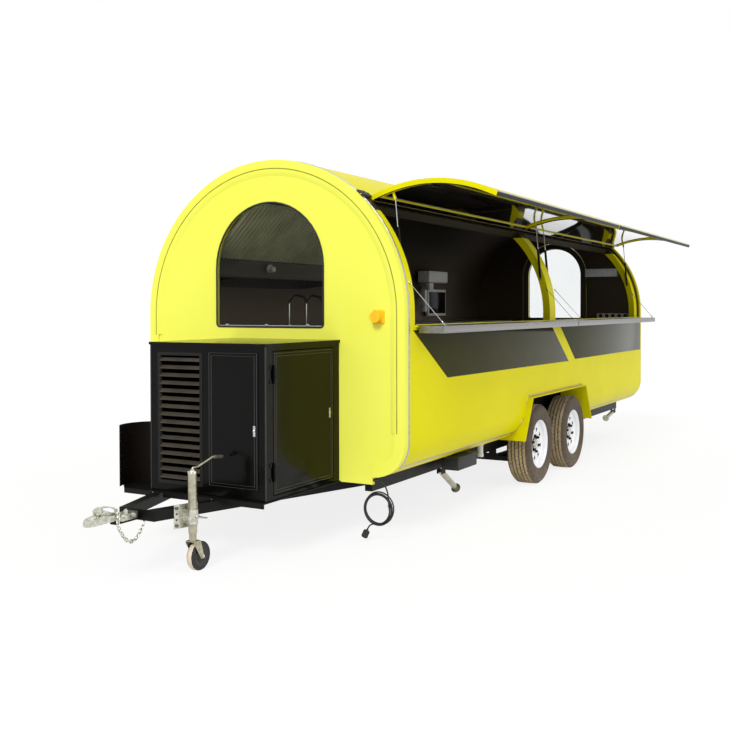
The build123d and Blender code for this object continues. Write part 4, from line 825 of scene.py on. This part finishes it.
wheel_places = {
    "front_left": (WHEEL_X[0], 1),
    "front_right": (WHEEL_X[0], -1),
    "rear_left": (WHEEL_X[1], 1),
    "rear_right": (WHEEL_X[1], -1),
}
for corner, (x, side) in wheel_places.items():
    body = "road_wheel_" + corner
    tyre = tyre_piece("tread_tyre_" + corner, x, side)
    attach(tyre, body)
    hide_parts("tyre_" + corner)
    hub = ((x, side * WHEEL_Y, WHEEL_Z), (0, side, 0))
    nuts = Build()
    for count in range(6):
        angle = math.pi / 3 * count + 0.3
        reach = 0.0665
        nuts.nut(
            (x + reach * math.cos(angle), side * (WHEEL_Y + 0.0395), WHEEL_Z + reach * math.sin(angle)),
            (0, side, 0), 0.021, 0.016, angle,
        )
    nuts.finish("wheel_nuts_" + corner, "black_satin", body)
    Build().lathe(*hub, (
        (0.0285, 0.1595), (0.0345, 0.152), (0.0405, 0.14), (0.044, 0.124), (0.0455, 0.104), (0.045, 0.088),
        (0.0425, 0.078), (0.04, 0.073), (0.0395, 0.06), (0.0345, 0.052), (0.034, 0.04),
    ), 72).finish("wheel_face_" + corner, "white_paint", body)
    holes = Build()
    for count in range(8):
        angle = math.pi / 4 * count + 0.2
        near, far, wide = 0.1, 0.13, 0.115
        corners = [
            (near, angle - wide * 0.6), (near, angle + wide * 0.6), (far, angle + wide),
            (far, angle - wide),
        ]
        holes.prism([
            (x + reach * math.cos(turn), side * (WHEEL_Y + 0.0435), WHEEL_Z + reach * math.sin(turn))
            for reach, turn in corners
        ], (0, side * 0.0024, 0))
    holes.lathe(*hub, ((0.036, 0.06), (0.0402, 0.06), (0.0402, 0.036)), 48)
    holes.finish("wheel_openings_" + corner, "black_satin", body)
    Build().lathe(*hub, (
        (0.022, 0.04), (0.044, 0.0392), (0.05, 0.038), (0.054, 0.036), (0.0555, 0.032), (0.0565, 0.02),
        (0.0568, 0.0001),
    ), 36).finish("hub_cap_" + corner, "zinc_bright", body)
    valve = Build()
    angle = 0.9
    base = Vector((x + 0.172 * math.cos(angle), side * (WHEEL_Y + 0.052), WHEEL_Z + 0.172 * math.sin(angle)))
    valve.lathe(base, (0, side, 0), (
        (-0.012, 0.006), (0.0, 0.006), (0.003, 0.0045), (0.014, 0.0042), (0.015, 0.0048), (0.022, 0.0048),
        (0.024, 0.003),
    ), 16)
    valve.finish("tyre_valve_" + corner, "rubber", body)

# Stay wires of the shelves, running straight from the body to the shelf
wire_sets = {
    "shelf_front": (
        ((-1.64, 0.9821, 1.25), (-1.726, 1.184, 0.9853)),
        ((-4.32, 0.9412, 1.25), (-4.317, 1.184, 0.9853)),
    ),
    "shelf_rear": (
        ((-4.53, 0.9412, 1.25), (-4.545, 1.184, 0.9853)),
        ((-7.22, 0.9412, 1.25), (-7.15, 1.184, 0.9853)),
    ),
}
for shelf, wires in wire_sets.items():
    for count, (high, low) in enumerate(wires):
        high, low = Vector(high), Vector(low)
        wire = Build().tube(
            [high + (low - high) * place / 24 for place in range(25)], 0.0022, 10,
        ).finish(f"{shelf}_wire_{count + 1}", "chrome", None)
        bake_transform(wire)
        sleeve = Build()
        along = (high - low).normalized()
        sleeve.lathe(low, along, ((0.004, 0.003), (0.005, 0.0042), (0.03, 0.0042), (0.032, 0.003)), 14)
        sleeve.slab(low + Vector((0, 0, -0.0016)), (0.026, 0.016, 0.0014), 0.0005)
        sleeve.finish(f"{shelf}_wire_end_{count + 1}", "chrome", shelf)
        Build().lathe(
            high, -along, ((-0.002, 0.003), (0.001, 0.0044), (0.026, 0.0042), (0.028, 0.003)), 14,
        ).finish(f"{shelf}_wire_top_{count + 1}", "chrome")
    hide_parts(shelf + "_stays")

# Inside: framed panel and box on the far wall, socket strip and its sockets on the rear wall
Build().slab((-6.1, -0.935, 1.15), (0.46, 0.03, 0.29), 0.006).finish("wall_panel_frame", "white_plastic")
Build().slab((-6.1, -0.917, 1.15), (0.4, 0.012, 0.235), 0.004).finish("wall_panel_face", "black_gloss")
fitting = Build()
fitting.slab((-5.74, -0.8, 1.42), (0.46, 0.138, 0.12), 0.014)
fitting.slab((-5.74, -0.84, 1.33), (0.1, 0.05, 0.09), 0.008)
fitting.slab((-5.74, -0.9, 1.18), (0.06, 0.04, 0.26), 0.006)
fitting.finish("wall_box", "white_plastic")
Build().slab((-7.345, 0.7, 1.0), (0.03, 0.37, 0.055), 0.005).finish("socket_strip", "white_plastic")
sockets = Build()
for count in range(5):
    sockets.lathe((-7.3305, 0.56 + 0.07 * count, 1.0), (1, 0, 0), (
        (0.0, 0.021), (0.003, 0.021), (0.0035, 0.019), (0.001, 0.0175), (0.0005, 0.004),
    ), 24)
sockets.finish("socket_faces", "black_plastic")

# Under the body: battery box with its strap, and the sink's drain
under = Build()
under.slab((-2.675, 0.86, 0.006), (0.33, 0.13, 0.088), 0.008)
under.slab((-2.675, 0.86, 0.051), (0.35, 0.15, 0.01), 0.003)
under.finish("battery_box", "black_plastic")
Build().lathe((-3.2, 0.8, 0.056), (0, 0, -1), (
    (
        0.0, 0.03,
    ), (0.006, 0.03), (0.008, 0.022), (0.07, 0.022), (0.072, 0.026), (0.095, 0.026), (0.095, 0.021),
    (0.03, 0.02),
), 28).finish("drain_stub", "white_plastic")

# Baffle filters of the hood, ribs side by side on a slope up to the roof
filters = Build()
low, high = Vector((0, -0.5155, 1.44)), Vector((0, -0.16, 1.8))
slope = (high - low).normalized()
proud = Vector((0, slope.z, -slope.y))
filters.prism([
    (-1.612, low.y, low.z), (-1.612, high.y, high.z), (-3.425, high.y, high.z), (-3.425, low.y, low.z),
], tuple(proud * 0.003))
for count in range(40):
    x = -1.64 - 0.045 * count
    rib = [(-0.013, 0.0), (-0.007, 0.017), (0.007, 0.017), (0.013, 0.0)]
    filters.ring_strip([
        [point + proud * (0.003 + tall) + Vector((x + wide, 0, 0)) for wide, tall in rib]
        for point in (low + slope * 0.012, high - slope * 0.012)
    ])
filters.finish("hood_filters", "filter_steel_painted_light", sharp=25)
casing = Build()
casing.slab((-2.5185, high.y, (high.z + 1.985) / 2), (1.813, 0.003, 1.985 - high.z), 0.001)
casing.slab((-1.772, low.y - 0.001, 1.376), (0.32, 0.003, 0.13), 0.001)
casing.slab((-1.772, low.y - 0.032, 1.312), (0.32, 0.062, 0.003), 0.001)
casing.finish("hood_casing", "stainless_painted_shade")
Build().tube(
    [(-1.615, low.y + 0.004, low.z), (-3.42, low.y + 0.004, low.z)], 0.009, 10,
).finish("hood_rim", "chrome")
Build().lathe((-2.3, -0.5145, 1.385), (0, 1, -0.2), (
    (
        0.0, 0.032,
    ), (0.012, 0.032), (0.016, 0.028), (0.018, 0.02), (0.04, 0.024), (0.052, 0.018), (0.058, 0.006),
), 28).finish("hood_lamp", "lamp_clear")

# Flat ring that widens the front panel out to its groove, in the front's lighter painted-sunlit yellow, and
# an olive line in the groove that is painted shadow of the raised rim
def front_point(place, radius, x):
    """Point of the front panel's ring, at a place given as angle and drop."""
    angle, drop = place
    return (x, radius * math.cos(angle), ARCH_Z + radius * math.sin(angle) + drop)


stations = [(0.0, drop) for drop in (-0.72, -0.5, -0.25)]
stations += [(math.radians(step * 2), 0.0) for step in range(90)]
stations += [(math.pi, drop) for drop in (-0.001, -0.08, -0.14)]
section = ((0.897, -1.5606), (0.897, -1.5599), (0.923, -1.5493), (0.9425, -1.5493), (0.9425, -1.5506))
Build().ring_strip([
    [front_point(place, radius, x) for radius, x in section] for place in stations
]).finish("front_panel_ring", "yellow_paint_front_painted_sunlit")
groove = [front_point(place, 0.945, -1.55) for place in stations]
Build().tube(groove, 0.0034, 8, up=(1, 0, 0)).finish("front_panel_shadow_line", "olive_painted_shadow")

# Strips along the front window's foot, and caps on the ends of the hatch hinge
foot = Build()
foot.slab((-1.5685, 0.0, 0.9765), (0.01, 0.81, 0.007), 0.002)
for side in (-0.34, -0.02, 0.3):
    foot.slab((-1.566, side, 0.982), (0.012, 0.02, 0.012), 0.003)
foot.finish("window_foot_strip", "aluminium")
tilt = Matrix.Rotation(math.radians(47.7 - 90), 3, "X")
for x in (-1.642, -7.357):
    end_cap = Build()
    width = 0.1 if x > -2 else 0.008
    end_cap.slab((x, HINGE_Y + 0.003, HINGE_Z + 0.004), (width, 0.034, 0.022), 0.004, tilt)
    end_cap.slab((x, HINGE_Y - 0.018, HINGE_Z + 0.021), (width, 0.04, 0.006), 0.002, tilt)
    end_cap.finish("hinge_cap_front" if x > -2 else "hinge_cap_rear", "rubber")

# Front housing: beads round its doors and corner strips, in a lighter black that is painted highlight along
# the edges, and locks
for count, inset in enumerate((0.01, 0.026)):
    Build().tube([
        (-0.7648, 0.132 + inset, 0.067 + inset), (-0.7648, 0.486 - inset, 0.067 + inset),
        (-0.7648, 0.486 - inset, 0.847 - inset), (-0.7648, 0.132 + inset, 0.847 - inset),
    ], 0.0022, 8, up=(1, 0, 0), closed=True).finish(f"service_panel_bead_{count + 1}", "edge_black_painted_highlight")
    Build().tube([
        (-0.844 - inset, 0.5342, 0.04 + inset), (-1.486 + inset, 0.5342, 0.04 + inset),
        (-1.486 + inset, 0.5342, 0.847 - inset), (-0.844 - inset, 0.5342, 0.847 - inset),
    ], 0.0022, 8, up=(0, 1, 0), closed=True).finish(
        f"side_door_bead_{count + 1}", "edge_black_painted_highlight", "generator_side_door",
    )
posts = Build()
for x, y in ((-0.768, 0.534), (-0.768, -0.298)):
    posts.tube(
        [(x - 0.001, y - 0.001 * (1 if y > 0 else -1), z) for z in (0.018, 0.3, 0.6, 0.884)], 0.0045, 12,
    )
posts.finish("housing_corner_strips", "edge_black_painted_highlight")
for name, body, at, size, out in (
    ("service_lock", "trailer", (-0.7615, 0.462, 0.405), (0.006, 0.016, 0.062), (1, 0, 0)),
    ("side_door_lock", "generator_side_door", (-1.44, 0.5365, 0.45), (0.016, 0.006, 0.062), (0, 1, 0)),
):
    lock = Build()
    lock.slab(at, size, 0.002)
    lock.lathe(
        Vector(at) + Vector(out) * 0.003, out,
        ((0.0, 0.007), (0.004, 0.007), (0.005, 0.0055), (0.0052, 0.001)), 24,
    )
    lock.finish(name, "chrome", body)

# Coupling: side bolts, lever block, locking loop and the chain thrown over it
bolts = Build()
for x in (-0.195, -0.262):
    for side in (1, -1):
        bolts.nut((x, side * 0.032, -0.012), (0, side, 0), 0.02, 0.012, 0.3)
bolts.lathe((-0.15, 0.032, 0.0), (0, 1, 0), ((0.0, 0.01), (0.004, 0.01), (0.006, 0.006)), 20)
bolts.nut((-0.235, 0.0, 0.0033), (0, 0, 1), 0.022, 0.014, 0.1)
bolts.finish("coupling_bolts", "zinc_bright")
block = Build()
block.slab((-0.03, 0.0, 0.045), (0.042, 0.036, 0.03), 0.005, Matrix.Rotation(0.35, 3, "Y"))
block.slab((-0.105, 0.0, 0.0215), (0.06, 0.024, 0.008), 0.003, Matrix.Rotation(-0.22, 3, "Y"))
block.finish("coupling_lever_grip", "zinc_bright")
Build().tube([
    (
        -0.098 + 0.056 * math.cos(a), 0.012 + 0.026 * math.sin(a),
        0.052 + 0.016 * math.cos(a) + 0.006 * math.sin(2 * a),
    )
    for a in [2 * math.pi * step / 36 for step in range(36)]
], 0.0022, 10, closed=True).finish("coupling_pin_loop", "zinc_bright")


def chain(name, points, finish):
    """Oval links between points, each turned a quarter from the last."""
    made = Build()
    for count, (start, end) in enumerate(zip(points, points[1:])):
        start, end = Vector(start), Vector(end)
        along = (end - start).normalized()
        guide = Vector((0, 1, 0)) if abs(along.y) < 0.9 else Vector((0, 0, 1))
        across = along.cross(guide).normalized()
        if count % 2:
            across = across.cross(along).normalized()
        middle = (start + end) / 2
        half = (end - start).length / 2 + 0.0005
        path = []
        for step in range(24):
            turn = 2 * math.pi * step / 24
            straight = (half - 0.005) * (1 if math.cos(turn) > 0 else -1)
            aside = across * 0.0085 * math.sin(turn)
            path.append(middle + along * (straight + 0.0085 * math.cos(turn)) + aside)
        made.tube(path, 0.0029, 8, up=tuple(along.cross(across)), closed=True)
    made.finish(name, finish)


chain("chain_over_coupling", [
    (-0.128, 0.046, -0.046), (-0.13, 0.044, -0.025), (-0.136, 0.042, -0.004), (-0.146, 0.033, 0.013),
    (-0.158, 0.016, 0.017), (-0.168, -0.005, 0.016), (-0.176, -0.025, 0.014), (-0.182, -0.041, 0.002),
    (-0.186, -0.044, -0.019), (-0.19, -0.044, -0.04),
], "zinc_bright")

# Jockey wheel: plate bolts, clamp screw, collar, grip, tread and axle nuts
bolts = Build()
along = Vector((-0.954, 0.299, 0))
outward = Vector((0.299, 0.954, 0))
plate = Vector((-0.505, 0.1808, -0.045)) + outward * 0.006
for wide in (-0.06, 0.06):
    for tall in (-0.048, -0.016, 0.016, 0.048):
        at = plate + along * wide + Vector((0, 0, tall))
        if abs(tall) > 0.03:
            bolts.nut(at, outward, 0.017, 0.01, 0.2)
        else:
            bolts.lathe(at, outward, ((0.0, 0.0065), (0.0012, 0.0065), (0.0014, 0.005), (0.0002, 0.0045)), 18)
bolts.finish("clamp_bolts", "zinc_worn")
screw = Build()
screw.tube([(-0.505, 0.256, -0.045), (-0.505, 0.3, -0.045)], 0.006, 14)
screw.lathe((-0.505, 0.261, -0.045), (0, 1, 0), ((0, 0.012), (0.01, 0.012), (0.012, 0.009)), 24)
screw.tube(
    [(-0.545, 0.298, -0.055), (-0.525, 0.299, -0.05), (-0.505, 0.3, -0.045), (-0.47, 0.3, -0.036)],
    0.0045, 12,
)
screw.finish("clamp_screw", "zinc_bright")
Build().lathe((-0.505, 0.232, 0.188), (0, 0, 1), (
    (
        0.0, 0.0243,
    ), (0.0, 0.0262), (0.014, 0.0262), (0.0175, 0.024), (0.0185, 0.012), (0.024, 0.011), (0.026, 0.008),
), 32).finish("jockey_collar", "zinc_bright", "jockey")
grip = Build()
first, last = Vector((-0.65, 0.256, 0.263)), Vector((-0.73, 0.268, 0.255))
along = (last - first).normalized()
grip.lathe(first + along * 0.012, along, (
    (
        0.0, 0.007,
    ), (0.002, 0.01), (0.01, 0.0112), (0.03, 0.0104), (0.05, 0.011), (0.06, 0.01), (0.062, 0.0068),
), 26)
grip.finish("crank_grip", "grip_black", "jockey")
Build().lathe(
    first + along * 0.0745, along,
    ((0.0, 0.0062), (0.001, 0.0082), (0.006, 0.0082), (0.0085, 0.005), (0.009, 0.0005)), 22,
).finish("crank_end", "chrome", "jockey")
AXLE = Vector((-0.553, 0.232, -0.27))
Build().lathe(AXLE - Vector((0, 0.0145, 0)), (0, 1, 0), (
    (
        0.0, 0.0785,
    ), (0.0, 0.0796), (0.001, 0.0803), (0.0145, 0.0806), (0.028, 0.0803), (0.029, 0.0796), (0.029, 0.0785),
), 64).finish("jockey_wheel_tread", "beige_rubber", "jockey_roller")
disc = Build()
for side in (1, -1):
    disc.lathe(AXLE + Vector((0, side * 0.0221, 0)), (0, side, 0), (
        (0.0, 0.058), (
            0.0012, 0.058,
        ), (0.0012, 0.052), (0.0002, 0.05), (0.0002, 0.038), (0.0012, 0.036), (0.0012, 0.034),
    ), 48)
disc.finish("jockey_wheel_rings", "edge_black_painted_highlight", "jockey_roller", "black_plastic")
nuts = Build()
for side in (1, -1):
    nuts.nut(AXLE + Vector((0, side * 0.031, 0)), (0, side, 0), 0.019, 0.007, 0.4)
nuts.finish("jockey_axle_nuts", "zinc_bright", "jockey_castor")

# Rear: lenses of the tail lamps and of the strip lamp, and the door's handle
for side, tag in SIDES:
    for part, finish, shift, width in (
        (
            "red", "lamp_red", 0.032, 0.078,
        ), ("amber", "lamp_amber", -0.026, 0.032), ("clear", "lamp_clear", -0.056, 0.024),
    ):
        lens = Build()
        lens.slab((-7.4165, side * (0.8 + shift), 0.35), (0.006, width, 0.076), 0.0025)
        for rib in range(5):
            lens.slab(
                (-7.4197, side * (0.8 + shift), 0.322 + 0.014 * rib), (0.0016, width - 0.01, 0.004),
                0.0007,
            )
        lens.finish(f"tail_lens_{part}_{tag}", finish)
lens = Build()
lens.slab((-7.318, 0.565, 1.49), (0.006, 0.35, 0.072), 0.002)
for count in range(3):
    lens.slab((-7.314, 0.565 - 0.115 + 0.115 * count, 1.49), (0.003, 0.006, 0.07), 0.001)
lens.finish("strip_lamp_lens", "lamp_clear")
handle = Build()
handle.slab((-7.3935, -0.335, 0.88), (0.008, 0.04, 0.17), 0.004)
handle.tube([
    (-7.394, -0.335, 0.905), (-7.42, -0.335, 0.905), (-7.428, -0.33, 0.905), (-7.43, -0.32, 0.905),
    (-7.43, -0.235, 0.903),
], 0.0075, 14)
handle.lathe(
    (-7.396, -0.335, 0.835), (-1, 0, 0), ((0.0, 0.01), (0.004, 0.01), (0.005, 0.008), (0.0052, 0.001)),
    24,
)
handle.finish("rear_door_handle", "chrome", "door")

# Ground, backdrop and soft studio light
ground = Build()
ground.bm.faces.new([
    ground.bm.verts.new(point)
    for point in ((-60, -60, GROUND), (60, -60, GROUND), (60, 60, GROUND), (-60, 60, GROUND))
])
paper = bpy.data.materials.new("studio_floor")
paper.use_nodes = True
tree = paper.node_tree
tree.nodes.clear()
matte = node(tree, "ShaderNodeBsdfDiffuse", {"Color": (0.88, 0.88, 0.88, 1)})
bright = node(tree, "ShaderNodeEmission", {"Color": (1, 1, 1, 1), "Strength": 1.04})
x, y, _ = coordinates(tree)
away = distance(tree, maths(tree, "ADD", x, 4.2), y)
share = spread(tree, away, 0.8, 1.0, 4.2, 10.0)
share = maths(tree, "MULTIPLY", seen_directly(tree), share)
show_mix(tree, "ShaderNodeOutputMaterial", share, matte, bright)
looks["studio_floor"] = paper
ground = ground.finish("studio_ground", "studio_floor", None)

world = bpy.data.worlds.new("studio")
bpy.context.scene.world = world
world.use_nodes = True
tree = world.node_tree
tree.nodes.clear()
soft = node(tree, "ShaderNodeBackground", {"Color": (1, 1, 1, 1), "Strength": 0.56})
white = node(tree, "ShaderNodeBackground", {"Color": (1, 1, 1, 1), "Strength": 1.0})
show_mix(tree, "ShaderNodeOutputWorld", seen_directly(tree), soft, white)


def sun(name, direction, strength, spread_degrees):
    """Soft distant lamp that shines along a direction."""
    data = bpy.data.lights.new(name, "SUN")
    data.energy = strength
    data.angle = math.radians(spread_degrees)
    made = bpy.data.objects.new(name, data)
    bpy.context.scene.collection.objects.link(made)
    made.rotation_mode = "QUATERNION"
    made.rotation_quaternion = Vector(direction).to_track_quat("-Z", "Y")


sun("key", (-0.84, -0.16, -0.66), 1.95, 20)
sun("fill", (0.05, -0.92, -0.38), 0.75, 50)

bpy.context.scene.view_settings.view_transform = "Standard"
